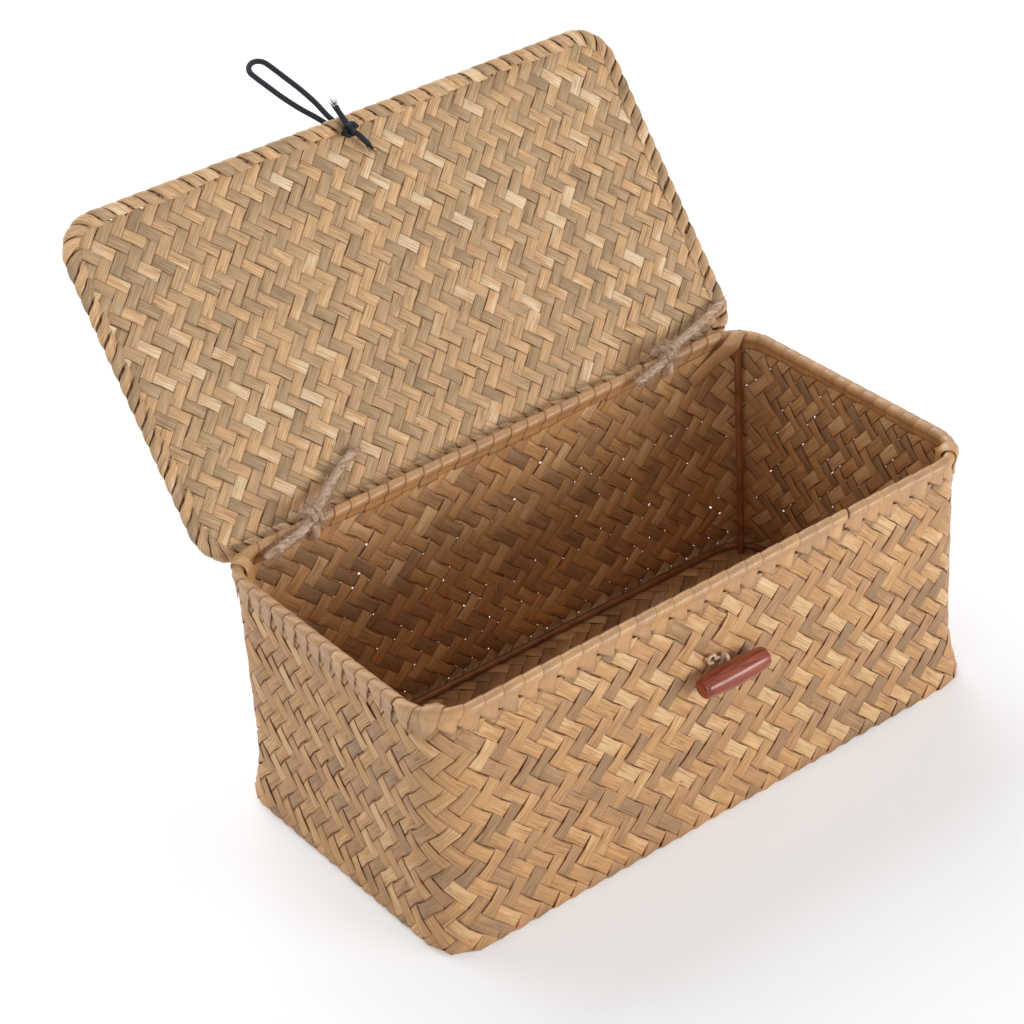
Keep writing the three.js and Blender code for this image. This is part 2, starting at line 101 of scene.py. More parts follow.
def new_material(name, **sockets):
    """A material and its shader, with constants set on the shader's own sockets."""
    material = bpy.data.materials.new(name)
    material.use_nodes = True
    shader = material.node_tree.nodes["Principled BSDF"]
    for socket, value in sockets.items():
        shader.inputs[socket.replace("_", " ")].default_value = value
    return material, material.node_tree, shader


def lay_tones(ramp, tones):
    """Gives a colour ramp its stops, each a place on it and a hex colour."""
    stops = ramp.color_ramp.elements
    while len(stops) < len(tones):
        stops.new(0.5)
    for stop, (position, colour) in zip(stops, tones):
        stop.position = position
        stop.color = linear(colour)


def give_surface(tree, shader, colour, pattern, strength, depth):
    """Links a shader's colour, and a relief from a pattern, as strong and as deep as given."""
    tree.links.new(colour, shader.inputs["Base Color"])
    relief = add(tree, "ShaderNodeBump", {"Height": pattern, "Strength": strength, "Distance": depth})
    tree.links.new(relief.outputs["Normal"], shader.inputs["Normal"])


def runs_from_front(long_side, corner, short_side):
    """What lies round a rounded rectangle, in order, from its front's middle and back to it."""
    half = long_side / 2
    return np.array([half, corner, short_side, corner, long_side, corner, short_side, corner, half])


def outline_at(distance, half_length, half_width, bend):
    """Points, and the angle they face, along a rounded rectangle, rightwards from its front's middle."""
    straight_x = half_length - bend
    straight_y = half_width - bend
    arc = bend * math.pi / 2
    runs = runs_from_front(2 * straight_x, arc, 2 * straight_y)
    ends = np.cumsum(runs)
    along = np.mod(distance, ends[-1])
    run = np.minimum(np.searchsorted(ends, along, side="right"), len(runs) - 1)
    past = along - (ends[run] - runs[run])
    side = run // 2
    bent = run % 2 == 1
    angle = (side - 1) * math.pi / 2 + np.where(bent, past / bend, 0)
    corner = np.where(bent, side, side - 1) % 4
    start_x = np.where(run == 0, 0, np.array([1, 1, -1, -1])[corner] * straight_x)
    start_y = np.array([-1, 1, 1, -1])[corner] * straight_y
    slide = np.where(bent, 0, past)
    x = start_x + bend * np.cos(angle) - slide * np.sin(angle)
    y = start_y + bend * np.sin(angle) + slide * np.cos(angle)
    return x, y, angle


def outline_length(half_length, half_width, bend):
    return 4 * (half_length + half_width - 2 * bend) + 2 * math.pi * bend


def deselect():
    bpy.ops.object.select_all(action="DESELECT")


def put_in_scene(name, data):
    """A curve or mesh as a new object, the only one that is selected, for operators to act on."""
    made = bpy.data.objects.new(name, data)
    bpy.context.scene.collection.objects.link(made)
    deselect()
    made.select_set(True)
    bpy.context.view_layer.objects.active = made
    return made


def wire_along(name, points, radius, closed):
    """Round wire along a line of points, as a mesh with its ends closed."""
    line = bpy.data.curves.new(name, "CURVE")
    line.dimensions = "3D"
    line.bevel_depth = radius
    line.bevel_resolution = 5
    line.use_fill_caps = not closed
    spline = line.splines.new("POLY")
    spline.points.add(len(points) - 1)
    spline.points.foreach_set("co", [c for p in points for c in (*p, 1)])
    spline.use_cyclic_u = closed
    wire = put_in_scene(name, line)
    bpy.ops.object.convert(target="MESH")
    bpy.ops.object.shade_smooth()
    return wire


def wire_ring(name, half_length, half_width, bend, place):
    """A ring of wire bent to a rounded rectangle; place turns outline points into the frame's."""
    places = np.arange(0, outline_length(half_length, half_width, bend), WIRE_STEP)
    x, y, _ = outline_at(places, half_length, half_width, bend)
    return wire_along(name, place(x, y), WIRE_RADIUS, True)


# Brown paint, dipped: a satin film that pools and thins, so its tone wanders and its skin is uneven
PAINT_POOL = 9 * MM
PAINT_GRAIN = 0.8 * MM
wire_paint, tree, shader = new_material("dipped_brown_paint", Roughness=0.45, Specular_IOR_Level=0.5)
place = add(tree, "ShaderNodeTexCoord").outputs["Object"]
film = add(tree, "ShaderNodeTexNoise", {"Vector": place, "Scale": 1 / PAINT_POOL, "Detail": 3.0})
tint = add(tree, "ShaderNodeValToRGB", {"Fac": film.outputs["Fac"]})
lay_tones(tint, [(0.3, "#7A4A2C"), (0.75, "#AC7044")])
grain = add(tree, "ShaderNodeTexNoise", {"Vector": place, "Scale": 1 / PAINT_GRAIN, "Detail": 2.0})
give_surface(tree, shader, tint.outputs["Color"], grain.outputs["Fac"], 0.15, 0.1 * MM)

top_wire = wire_ring(
    "top_wire", rim_half_length, rim_half_width, RIM_BEND,
    lambda x, y: [(px, py, rim_wire_height) for px, py in zip(x, y)],
)
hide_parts("top_ring")
bottom_low, bottom_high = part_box("bottom_ring")
bottom_height = (bottom_low.z + bottom_high.z) / 2
bottom_wire = wire_ring(
    "bottom_wire", bottom_high.x - facet_radius, bottom_high.y - facet_radius, BOTTOM_BEND,
    lambda x, y: [(px, py, bottom_height) for px, py in zip(x, y)],
)
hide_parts("bottom_ring")
frame_wires = [top_wire, bottom_wire]
for corner, (side_x, side_y) in CORNERS.items():
    node = f"upright_{corner}"
    low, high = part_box(node)
    (near_x, far_x), (near_y, far_y) = (sorted((abs(a), abs(b))) for a, b in zip(low.xy, high.xy))
    foot = (side_x * (near_x + facet_radius), side_y * (near_y + facet_radius), low.z)
    head = (side_x * (far_x - facet_radius), side_y * (far_y - facet_radius), high.z - WIRE_RADIUS)
    rod = wire_along(f"upright_wire_{corner}", [foot, head], WIRE_RADIUS, False)
    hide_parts(node)
    frame_wires.append(rod)
for wire in frame_wires:
    wire.data.materials.append(wire_paint)
    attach(wire, "basket")

# Basket sheet: flat seagrass strips about 7 mm wide, plaited on the bias in two-over, two-under
# twill. The same strips make the base and, turned up round the frame, the four walls.
STRIP_THICKNESS = 0.5 * MM
STRIP_LIFT = 0.5 * MM
STRIPS_ON_LONG_SIDE = 26
STRIPS_ON_SHORT_SIDE = 13
STRIPS_ON_CORNER = 3.25
ROW_CLIMB = 9.5 * MM
ROW_START = 7.2 * MM
SHEET_HALF = 0.9 * MM
BASE_EDGE = 2.1 * MM
SPREAD_HEIGHT = 36 * MM
SPREAD_ENDS = 3.4 * MM
SPREAD_SIDES = 3.6 * MM
SPREAD_CORNERS = 2.9 * MM
STRIP_TURN_UNDER = 12 * MM
TURNED_LIFT = 0.7
# Across a strip: thin edges, a slightly crowned face on both sides
ACROSS = np.array([-1, -0.9, 0, 0.9, 1, 0.9, 0, -0.9])
FACE = np.array([0, 0.42, 0.62, 0.42, 0, -0.42, -0.62, -0.42])
# Along a float, from where it comes up between two strips to where it goes down again
FLOAT_ROWS = np.array([-0.46, -0.36, 0.5, 1.36, 1.46])
FLOAT_LIFT = np.array([0.4, 0.9, 1.15, 0.9, 0.4])
FLOAT_ENDS = np.array([1, 0.8, 0, 0.8, 1])
END_WIDTH = 1.08
# No two floats are alike: spread of their bulge, tilt, sideways shift, width and tone
BULGE_SPREAD = 0.15
TILT_LEAN = 0.1 * MM
TILT_SPREAD = 0.1 * MM
SHIFT_SPREAD = 0.03
WIDTH_SPREAD = 0.04
TONE_SPREAD = 0.1
# No two strips show the same stretch of the leaf's pattern: it starts up to 4 m along
PATTERN_SHIFT = 4.0
random = np.random.default_rng(7)

bent_run = RIM_BEND * math.pi / 2
long_run = 2 * (rim_half_length - RIM_BEND)
short_run = 2 * (rim_half_width - RIM_BEND)
side_counts = runs_from_front(STRIPS_ON_LONG_SIDE, STRIPS_ON_CORNER, STRIPS_ON_SHORT_SIDE)
side_runs = runs_from_front(long_run, bent_run, short_run)
count_marks = np.concatenate([[0], np.cumsum(side_counts)])
run_marks = np.concatenate([[0], np.cumsum(side_runs)])
strips_round = int(round(count_marks[-1]))


def round_basket(count):
    """How far round the basket a place lies that is counted in strips from the front's middle."""
    turns = np.floor(count / strips_round)
    return np.interp(count - turns * strips_round, count_marks, run_marks) + turns * run_marks[-1]


def wall_place(count, climb, lift):
    """Points of the wall's sheet: strips counted round it, rows climbed, and lift out of the sheet."""
    x, y, angle = outline_at(round_basket(count), rim_half_length, rim_half_width, RIM_BEND)
    height = climb * ROW_CLIMB + ROW_START - BASE_EDGE
    turn = np.clip(-height / BASE_EDGE, 0, math.pi / 2)
    under = np.maximum(-height - BASE_EDGE * math.pi / 2, 0)
    inward = BASE_EDGE * (1 - np.cos(turn)) + under
    z = SHEET_HALF + BASE_EDGE * (1 - np.sin(turn)) + np.maximum(height, 0)
    share = np.maximum(1 - z / SPREAD_HEIGHT, 0) ** 2
    spread = SPREAD_ENDS * np.cos(angle) ** 2 + SPREAD_SIDES * np.sin(angle) ** 2
    spread = spread + SPREAD_CORNERS * np.sin(2 * angle) ** 2
    out = share * spread - inward + lift * np.cos(turn)
    z = z - TURNED_LIFT * lift * np.sin(turn)
    return np.stack([x + out * np.cos(angle), y + out * np.sin(angle), z], axis=-1)


def strip_between(place, leans, index, strip):
    """One strip's rings of points. Strips that lean left and right cross at whole rows."""
    across = strip["shift"][:, None] + ACROSS * strip["width"][:, None] / 2
    row = strip["row"][:, None]
    if leans == "left":
        first = index + across
        second = index - row
    else:
        first = index + row
        second = index + across
    lift = strip["lift"][:, None] + FACE * STRIP_THICKNESS + strip["tilt"][:, None] * ACROSS
    return place((first + second) / 2, (first - second) / 2, lift)


def twill_strip(first_float, last_float, leans, width, waist, tone):
    """What a strip does along its rows; left-leaning strips lie on top on even floats."""
    floats = np.arange(first_float, last_float + 1)
    on_top = np.where((floats % 2 == 0) == (leans == "left"), 1, -1)
    bulge = on_top * random.normal(1, BULGE_SPREAD, len(floats)) * STRIP_LIFT
    tilt = random.normal(TILT_LEAN, TILT_SPREAD, len(floats))
    shift = random.normal(0, SHIFT_SPREAD, len(floats))
    widths = random.normal(width, WIDTH_SPREAD, len(floats))
    tones = random.normal(tone, TONE_SPREAD, len(floats))
    level = np.ones(len(FLOAT_ROWS))
    return {
        "row": (2 * floats[:, None] + FLOAT_ROWS).ravel(),
        "lift": np.outer(bulge, FLOAT_LIFT).ravel(),
        "tilt": np.outer(tilt, level).ravel(),
        "shift": np.outer(shift, level).ravel(),
        "width": np.outer(widths, waist + (END_WIDTH - waist) * FLOAT_ENDS).ravel(),
        "tone": np.outer(tones, level).ravel(),
    }


def part_of(strip, kept):
    return {name: values[kept] for name, values in strip.items()}


def unit(vectors):
    return vectors / np.linalg.norm(vectors, axis=-1, keepdims=True)


def lengths_along(line):
    """How far along a line each of its points lies."""
    return np.concatenate([[0], np.cumsum(np.linalg.norm(np.diff(line, axis=0), axis=1))])


def skins_object(name, skins, mark_name, material):
    """One mesh of closed skins, each rings of points and a vector of marks at every point."""
    faces = []
    start = 0
    for rings, _ in skins:
        last, count = len(rings) - 1, rings.shape[1]
        ring = start + np.arange(last)[:, None] * count
        here = np.arange(count)[None, :]
        after = (here + 1) % count
        quads = np.stack([ring + here, ring + after, ring + count + after, ring + count + here], axis=-1)
        faces.extend(quads.reshape(-1, 4).tolist())
        faces.append(list(range(start + count - 1, start - 1, -1)))
        start += last * count
        faces.append(list(range(start, start + count)))
        start += count
    mesh = bpy.data.meshes.new(name)
    mesh.from_pydata(np.concatenate([rings.reshape(-1, 3) for rings, _ in skins]), [], faces)
    attribute = mesh.attributes.new(mark_name, "FLOAT_VECTOR", "POINT")
    values = np.concatenate([marks.reshape(-1, 3) for _, marks in skins])
    attribute.data.foreach_set("vector", values.astype(np.float32).ravel())
    mesh.materials.append(material)
    made = put_in_scene(name, mesh)
    bpy.ops.object.shade_smooth()
    return made


def face_outwards():
    """Turns all the faces of the active mesh outwards."""
    bpy.ops.object.mode_set(mode="EDIT")
    bpy.ops.mesh.select_all(action="SELECT")
    bpy.ops.mesh.normals_make_consistent(inside=False)
    bpy.ops.object.mode_set(mode="OBJECT")


def strips_object(name, strips, material):
    """One mesh of many strips, each marked with its length, its width and its tone."""
    skins = []
    for rings, tone in strips:
        marks = np.empty(rings.shape)
        marks[..., 0] = lengths_along(rings[:, 2])[:, None] + random.uniform(0, PATTERN_SHIFT)
        marks[..., 1] = ACROSS
        marks[..., 2] = tone[:, None]
        skins.append((rings, marks))
    made = skins_object(name, skins, "strip", material)
    face_outwards()
    return made


# Dried seagrass: split, flattened leaf with a satin skin. The eye sees strips of straw, grey-beige
# and orange-brown, fine fibres along each, thin dark cracks lengthwise, and orange-brown edges,
# whose darkening is partly the leaf's own and partly painted shade in the gaps between strips.
# A pattern below has its length along a strip, how many lie across half a strip, and its detail.
FIBRES = (24 * MM, 9, 3.0)
CRACKS = (45 * MM, 2.2, 1.0)
BLOTCHES = (14 * MM, 0.6, 2.0)
CRACK_WIDTH = 0.018
EDGE_TONE_AND_SHADE_START = 0.86
GLOSS_SPREAD = 0.18


def seagrass(name, tones, streaks=0.28, cracked=0.6, edges=0.8, matt=0.62, sheen=0.45):
    """Strips in a range of tones, with streaked fibres, cracks, and edges darkened orange-brown, as the
    leaf's own edge and as painted shade between strips, each as strong as given.
    """
    material, tree, shader = new_material(name, Specular_IOR_Level=sheen)
    strip = add(tree, "ShaderNodeAttribute", attribute_name="strip").outputs["Vector"]
    parts = add(tree, "ShaderNodeSeparateXYZ", {"Vector": strip})
    noises = []
    for length, lines, detail in (FIBRES, CRACKS, BLOTCHES):
        spot = add(tree, "ShaderNodeVectorMath", {0: strip, 1: (1 / length, lines, 0)}, operation="MULTIPLY")
        noise = {"Vector": spot.outputs[0], "Scale": 1.0, "Detail": detail}
        noises.append(add(tree, "ShaderNodeTexNoise", noise).outputs["Fac"])
    fibres, cracks, blotches = noises

    # Map Range takes a value, the range it comes from and the range it goes to, as sockets 0 to 4
    blotch = add(tree, "ShaderNodeMapRange", {0: blotches, 1: 0.2, 2: 0.8, 3: -0.3, 4: 0.3}).outputs[0]
    shade = add(tree, "ShaderNodeMath", {0: parts.outputs["Z"], 1: blotch}, operation="ADD").outputs[0]
    ramp = add(tree, "ShaderNodeValToRGB", {"Fac": shade})
    lay_tones(ramp, tones)
    streak = add(tree, "ShaderNodeMapRange", {0: fibres, 1: 0.32, 2: 0.68, 3: 1 - streaks, 4: 1 + streaks})
    streaked = {0: ramp.outputs["Color"], "Scale": streak.outputs[0]}
    fibrous = add(tree, "ShaderNodeVectorMath", streaked, operation="SCALE").outputs[0]

    aside = add(tree, "ShaderNodeMath", {0: cracks, 1: 0.5}, operation="SUBTRACT").outputs[0]
    off_crack = add(tree, "ShaderNodeMath", {0: aside}, operation="ABSOLUTE").outputs[0]
    crack = add(tree, "ShaderNodeMapRange", {0: off_crack, 1: 0.0, 2: CRACK_WIDTH, 3: cracked, 4: 0.0})
    # Darker towards each strip's edges: partly the leaf's own orange-brown edge, partly painted shade for
    # the gaps between strips
    off_middle = add(tree, "ShaderNodeMath", {0: parts.outputs["Y"]}, operation="ABSOLUTE").outputs[0]
    edge = add(tree, "ShaderNodeMapRange", {0: off_middle, 1: EDGE_TONE_AND_SHADE_START, 2: 1.0, 3: 0.0, 4: edges})
    colour = fibrous
    for share, brown in ((crack, "#7A4622"), (edge, "#7A431C")):
        mixed = {"Factor": share.outputs[0], 6: colour, 7: linear(brown)}
        colour = add(tree, "ShaderNodeMix", mixed, data_type="RGBA").outputs[2]
    give_surface(tree, shader, colour, fibres, 0.5, 0.15 * MM)
    gloss = add(tree, "ShaderNodeMapRange", {0: fibres, 1: 0.3, 2: 0.7, 3: matt, 4: matt - GLOSS_SPREAD})
    tree.links.new(gloss.outputs[0], shader.inputs["Roughness"])
    return material


basket_tones = [(0.0, "#A6835F"), (0.25, "#BC9065"), (0.5, "#CA9A6A"), (0.75, "#D4A26B"), (1.0, "#E6BC8A")]
basket_seagrass = seagrass("plaited_seagrass_wide", basket_tones)
WALL_FLOATS = (-3, 13)
WALL_WIDTHS = (0.96, 1.05)
WALL_TONES = (0.2, 0.75)


def strip_tone(index, contrast, spread):
    """Pale and dark leaves are plaited in turn, so that strips alternate in tone."""
    return 0.5 + spread * (random.random() - 0.5) + contrast * (index % 2 - 0.5)


def wall_strips(leans, waist, paler):
    strips = []
    lowest = -2 * (STRIP_TURN_UNDER + ROW_START) / ROW_CLIMB
    highest = 2 * (rim_wire_height - SHEET_HALF - ROW_START) / ROW_CLIMB
    for index in range(strips_round):
        width = random.uniform(*WALL_WIDTHS)
        strip = twill_strip(*WALL_FLOATS, leans, width, waist, strip_tone(index, *WALL_TONES) + paler)
        strip = part_of(strip, (strip["row"] > lowest) & (strip["row"] < highest))
        strips.append((strip_between(wall_place, leans, index, strip), strip["tone"]))
    return strips


left_walls = strips_object("wall_strips_leaning_left", wall_strips("left", 0.95, 0.14), basket_seagrass)
right_walls = strips_object("wall_strips_leaning_right", wall_strips("right", 0.85, -0.12), basket_seagrass)
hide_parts("basket_weave")

# The base's own strips lie a little above the ends of the walls' strips, which turn in under them
SHEET_WIDTHS = (0.97, 1.04)
SHEET_WAIST = 0.98
BASE_TONES = {"left": (0.2, 0.8), "right": (0.2, 0.8)}
BASE_RAISE = 0.4 * MM
BASE_INSET = 1 * MM


def sheet_strips(place, spacing, climb, half_length, half_width, bend, tones):
    """Twill strips of a flat sheet, each kept where its middle lies inside a rounded rectangle."""
    strips = []
    reach = int((half_length / spacing + half_width / climb) + 2)
    for leans, way in (("left", -1), ("right", 1)):
        for index in range(-reach, reach + 1):
            width = random.uniform(*SHEET_WIDTHS)
            tone = strip_tone(index, *tones[leans])
            strip = twill_strip(-reach, reach, leans, width, SHEET_WAIST, tone)
            x = (index + way * strip["row"] / 2) * spacing
            y = strip["row"] / 2 * climb
            past_x = np.maximum(np.abs(x) - half_length + bend, 0)
            past_y = np.maximum(np.abs(y) - half_width + bend, 0)
            strip = part_of(strip, np.hypot(past_x, past_y) < bend)
            if len(strip["row"]) > 2:
                strips.append((strip_between(place, leans, index, strip), strip["tone"]))
    return strips


base_spacing = long_run / STRIPS_ON_LONG_SIDE
base_climb = short_run / STRIPS_ON_SHORT_SIDE


def base_place(count, climb, lift):
    return np.stack([count * base_spacing, climb * base_climb, SHEET_HALF + BASE_RAISE + lift], axis=-1)


base_strips = sheet_strips(
    base_place, base_spacing, base_climb, rim_half_length - BASE_INSET, rim_half_width - BASE_INSET,
    RIM_BEND, BASE_TONES,
)
base_sheet = strips_object("base_strips", base_strips, basket_seagrass)
for sheet in (left_walls, right_walls, base_sheet):
    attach(sheet, "basket")

# Basket rim: the right-leaning strips are folded over the top wire from inside, drawn down the
# outer face and cut off in points, each lapped over the next, so that the wire is wrapped all round.
FOLD_RADIUS = 2.4 * MM
FOLD_ASIDE = 1.25 * MM
FOLD_CLOSING = 0.9 * MM
FOLD_TURN = math.radians(135)
FOLD_LAP = 0.2 * MM
FOLD_END_CURL = 4 * MM
FOLD_CURL_SHARE = (0.5, 1.2)
FOLD_SHIFT = 0.04
POINT_SLANT = 0.35
fold_arc = FOLD_RADIUS * FOLD_TURN


def fold_section(across):
    """Across the fold: how far past the wire, how far aside of it, and where the strip faces."""
    side = np.sign(across)
    turn = np.minimum(np.abs(across) / FOLD_RADIUS, FOLD_TURN)
    run = np.maximum(np.abs(across) - fold_arc, 0)
    laid = np.minimum(run / FOLD_CLOSING, 1)
    aside = FOLD_RADIUS * np.sin(turn) * (1 - laid) + FOLD_ASIDE * laid
    past = FOLD_RADIUS * np.cos(turn) - run
    facing = turn + (math.pi / 2 - turn) * laid
    return past, side * aside, np.cos(facing), side * np.sin(facing)


def rim_place(count, across, lift):
    x, y, angle = outline_at(round_basket(count), rim_half_length, rim_half_width, RIM_BEND)
    past, aside, face_up, face_out = fold_section(across)
    out = aside + lift * face_out
    z = rim_wire_height + past + lift * face_up
    return np.stack([x + out * np.cos(angle), y + out * np.sin(angle), z], axis=-1)


def fold_strips(place, count, pitch, fold):
    """Strips laid over a fold, from the inner leg to the outer one, with one edge over the next."""
    strips = []
    over_wire = np.linspace(-fold_arc, fold_arc, 13)
    closing = fold_arc + np.array([0.5, 1]) * FOLD_CLOSING
    for index in range(count):
        inner_end = random.uniform(*fold["inner"])
        outer_end = random.uniform(*fold["outer"][index % 2])
        inner_leg = np.linspace(inner_end, closing[-1], 3)[:-1]
        outer_leg = np.linspace(closing[-1], outer_end, 4)[1:]
        across = np.concatenate([-inner_leg, -closing[::-1], over_wire, closing, outer_leg])
        inner_curl = np.clip(1 - (across + inner_end) / FOLD_END_CURL, 0, 1) ** 2 * fold["end_lifts"][0]
        outer_curl = np.clip(1 - (outer_end - across) / FOLD_END_CURL, 0, 1) ** 2 * fold["end_lifts"][1]
        lift = random.uniform(*FOLD_CURL_SHARE) * (inner_curl + outer_curl)
        narrowing = np.clip((across - fold_arc) / (outer_end - fold_arc), 0, 1) * fold["narrowing"]
        half = random.uniform(*fold["widths"]) / 2 * (1 - narrowing)
        middle = index + random.normal(0, FOLD_SHIFT) - fold["lean"] * across / pitch
        point = np.where(across == outer_end, POINT_SLANT * pitch, 0)
        counts = middle[:, None] + ACROSS * half[:, None]
        places = across[:, None] + point[:, None] * ACROSS
        lifts = lift[:, None] + FACE * STRIP_THICKNESS + FOLD_LAP * ACROSS
        lifts = lifts + fold["crown"] * (1 - ACROSS ** 2)
        tone = np.full(len(across), fold["tone"](index))
        strips.append((place(counts, places, lifts), tone))
    return strips


rim_folds = fold_strips(rim_place, strips_round, long_run / STRIPS_ON_LONG_SIDE, {
    "lean": 0.4, "widths": (1.1, 1.18), "narrowing": 0.04, "crown": 0.05 * MM,
    "outer": [(11.5 * MM, 13 * MM), (9.8 * MM, 11.2 * MM)], "inner": (8.5 * MM, 10.5 * MM),
    "end_lifts": (-0.3 * MM, 0.3 * MM), "tone": lambda index: random.uniform(0.4, 0.7),
})


def ribbon(line, facing, width, cup):
    """A strip along a line of points, facing the given ways, with its edges bent back by the cup."""
    ahead = np.gradient(line, axis=0)
    side = unit(np.cross(facing, ahead))
    face = unit(np.cross(ahead, side))
    flat = line[:, None] + side[:, None] * (np.outer(width, ACROSS) / 2)[..., None]
    lift = FACE * STRIP_THICKNESS - np.outer(cup, ACROSS ** 2)
    return flat + face[:, None] * lift[..., None]


def cover_strip(corner, run, inward, rise, turn, width, cup):
    """A strip over an upright's head: along the rim, into the box, up from its wire, and how it faces."""
    middle = (run_marks[2 * corner + 1] + run_marks[2 * corner + 2]) / 2
    x, y, angle = outline_at(middle + run, rim_half_length, rim_half_width, RIM_BEND)
    way_in = np.stack([-np.cos(angle), -np.sin(angle), np.zeros(len(x))], axis=-1)
    line = np.stack([x, y, rim_wire_height + rise], axis=-1) + way_in * inward[:, None]
    facing = way_in * np.sin(turn)[:, None] + np.outer(np.cos(turn), (0, 0, 1))
    return ribbon(line, facing, width, cup)


# One strip more hides each upright's head. At the back right it is drawn aslant down the back wall;
# elsewhere it is folded over the head, from a point outside to a short tongue inside.
BACK_RIGHT = 1
COVER_TONES = (0.5, 0.8)
SLANT_RUN = np.array([-4, -2, 0.5, 3, 7, 12, 18, 24, 27]) * MM
SLANT_RISE = np.array([2.3, 2.9, 2.4, -0.4, -4.2, -8, -12, -16, -18]) * MM
SLANT_INWARD = np.array([-0.2, 1.2, 4.0, 6.4, 5.5, 3.7, 2.2, 1.5, 1.3]) * MM
SLANT_TURN = np.radians([-10, 10, 30, 65, 80, 85, 85, 85, 85])
SLANT_WIDTH = np.array([3, 4.8, 6.6, 7.5, 7.5, 7.5, 7.5, 7.5, 7.5]) * MM
LAP_INWARD = np.array([
    -1.95, -2, -2.2, -2.8, -3.2, -2.7, -1.5, 0.4, 2.4, 4.2, 5.6, 6.4, 6.6, 6.5, 6.4,
]) * MM
LAP_RISE = np.array([-9, -6, -3.6, -1.6, 0.2, 2, 3.1, 3.5, 3.3, 2.6, 1.4, -0.4, -3, -6.5, -10]) * MM
LAP_WIDTH = np.array([4, 6, 7.5, 8, 8, 8, 8, 8, 8, 8, 8, 8, 7.8, 7.4, 7]) * MM
LAP_CUP = np.array([0.5, 0.5, 0.5, 0.5, 0.5, 0.5, 0.5, 0.5, 0.7, 1.2, 1.9, 2.5, 2.8, 2.8, 2.8]) * MM
LAP_LEAN = 0.2
LAP_PIVOT = 0.6
lap_turn = np.arctan2(-np.gradient(LAP_RISE), np.gradient(LAP_INWARD))
lap_along = lengths_along(np.stack([LAP_INWARD, LAP_RISE], axis=-1))
lap_run = LAP_LEAN * (lap_along - lap_along[-1] * LAP_PIVOT)
slant = (SLANT_RUN, SLANT_INWARD, SLANT_RISE, SLANT_TURN, SLANT_WIDTH, np.zeros(len(SLANT_RUN)))
lap = (lap_run, LAP_INWARD, LAP_RISE, lap_turn, LAP_WIDTH, LAP_CUP)
for corner in range(4):
    cover = cover_strip(corner, *(slant if corner == BACK_RIGHT else lap))
    rim_folds.append((cover, np.full(len(cover), random.uniform(*COVER_TONES))))
# Folded seagrass: the same leaf, drawn smooth over the wire, so that it shines and its fibres hardly show;
# its orange-brown edges, with their painted shade at the seams, are weaker
rim_seagrass = seagrass(
    "folded_seagrass", basket_tones, streaks=0.12, cracked=0.15, edges=0.4, matt=0.44, sheen=0.6,
)
rim_strips = strips_object("rim_strips", rim_folds, rim_seagrass)
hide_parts("basket_rim")
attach(rim_strips, "basket")

# Lid wire: one ring of the same painted wire, inside the lid's border. It hangs from the hinge
# line, which is the basket's top wire at the back.
LID_BEND = 17 * MM
hinge = next(j for j in frame["joints"] if j["name"] == "lid_hinge")
open_angle = math.radians(hinge["range_deg"][1])
hinge_y = rim_half_width
hinge_z = rim_wire_height
up_lid = np.array([0, -math.cos(open_angle), math.sin(open_angle)])
off_lid = np.array([0, math.sin(open_angle), math.cos(open_angle)])
LID_OVERHANG_ENDS = 1 * MM
LID_OVERHANG_FRONT = 6 * MM
LID_LIFT = 6.887 * MM
lid_half_length = rim_half_length + LID_OVERHANG_ENDS
lid_half_width = rim_half_width + LID_OVERHANG_FRONT / 2


def on_lid(x, up, off):
    """Points of the open lid: along the box, up from its back wire, and off its middle, outwards."""
    x, up, off = np.broadcast_arrays(x, up, off)
    drop = LID_LIFT + off
    y = hinge_y + up * up_lid[1] + drop * off_lid[1]
    z = hinge_z + up * up_lid[2] + drop * off_lid[2]
    return np.stack([x, y, z], axis=-1)


# The outline's front is the lid's front edge, which is its highest when the lid is open
lid_wire = wire_ring(
    "lid_wire", lid_half_length, lid_half_width, LID_BEND,
    lambda x, y: on_lid(x, lid_half_width - y, 0).tolist(),
)
lid_wire.data.materials.append(wire_paint)
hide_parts("lid_ring")
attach(lid_wire, "lid")

# Lid sheet: the same twill of narrower seagrass strips, about 5.4 mm wide, plaited flat and cut to
# the ring. Its edge is held between the two legs of the border.
LID_SPACING = 7.65 * MM
LID_CLIMB = 7.75 * MM
LID_TONES = {"left": (0.45, 0.4), "right": (0.1, 0.5)}
# Narrow seagrass: a paler leaf, with more grey among the straw and stronger streaks of fibre
lid_tones = [(0.0, "#B0936F"), (0.25, "#C5A47B"), (0.5, "#D7AF82"), (0.75, "#E9BA87"), (1.0, "#F9DDB4")]
lid_seagrass = seagrass("plaited_seagrass_narrow", lid_tones, streaks=0.34)


def lid_sheet_place(count, climb, lift):
    return on_lid(count * LID_SPACING, lid_half_width + climb * LID_CLIMB, -lift)


lid_strips = sheet_strips(
    lid_sheet_place, LID_SPACING, LID_CLIMB, lid_half_length, lid_half_width, LID_BEND, LID_TONES,
)
lid_sheet = strips_object("lid_strips", lid_strips, lid_seagrass)
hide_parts("lid_weave")
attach(lid_sheet, "lid")

# Lid border: the lid's own strips, folded over its wire and tucked back under on the other face.
# The folds slant with the twill and stand up a little in their middles, like a row of pleats.
lid_round = outline_length(lid_half_length, lid_half_width, LID_BEND)
lid_fold_count = int(round(lid_round / LID_SPACING))
lid_fold_spacing = lid_round / lid_fold_count


def lid_fold_place(count, across, lift):
    x, y, angle = outline_at(count * lid_fold_spacing, lid_half_length, lid_half_width, LID_BEND)
    past, aside, face_out, face_aside = fold_section(across)
    out = past + lift * face_out
    up = lid_half_width - y - out * np.sin(angle)
    return on_lid(x + out * np.cos(angle), up, aside + lift * face_aside)


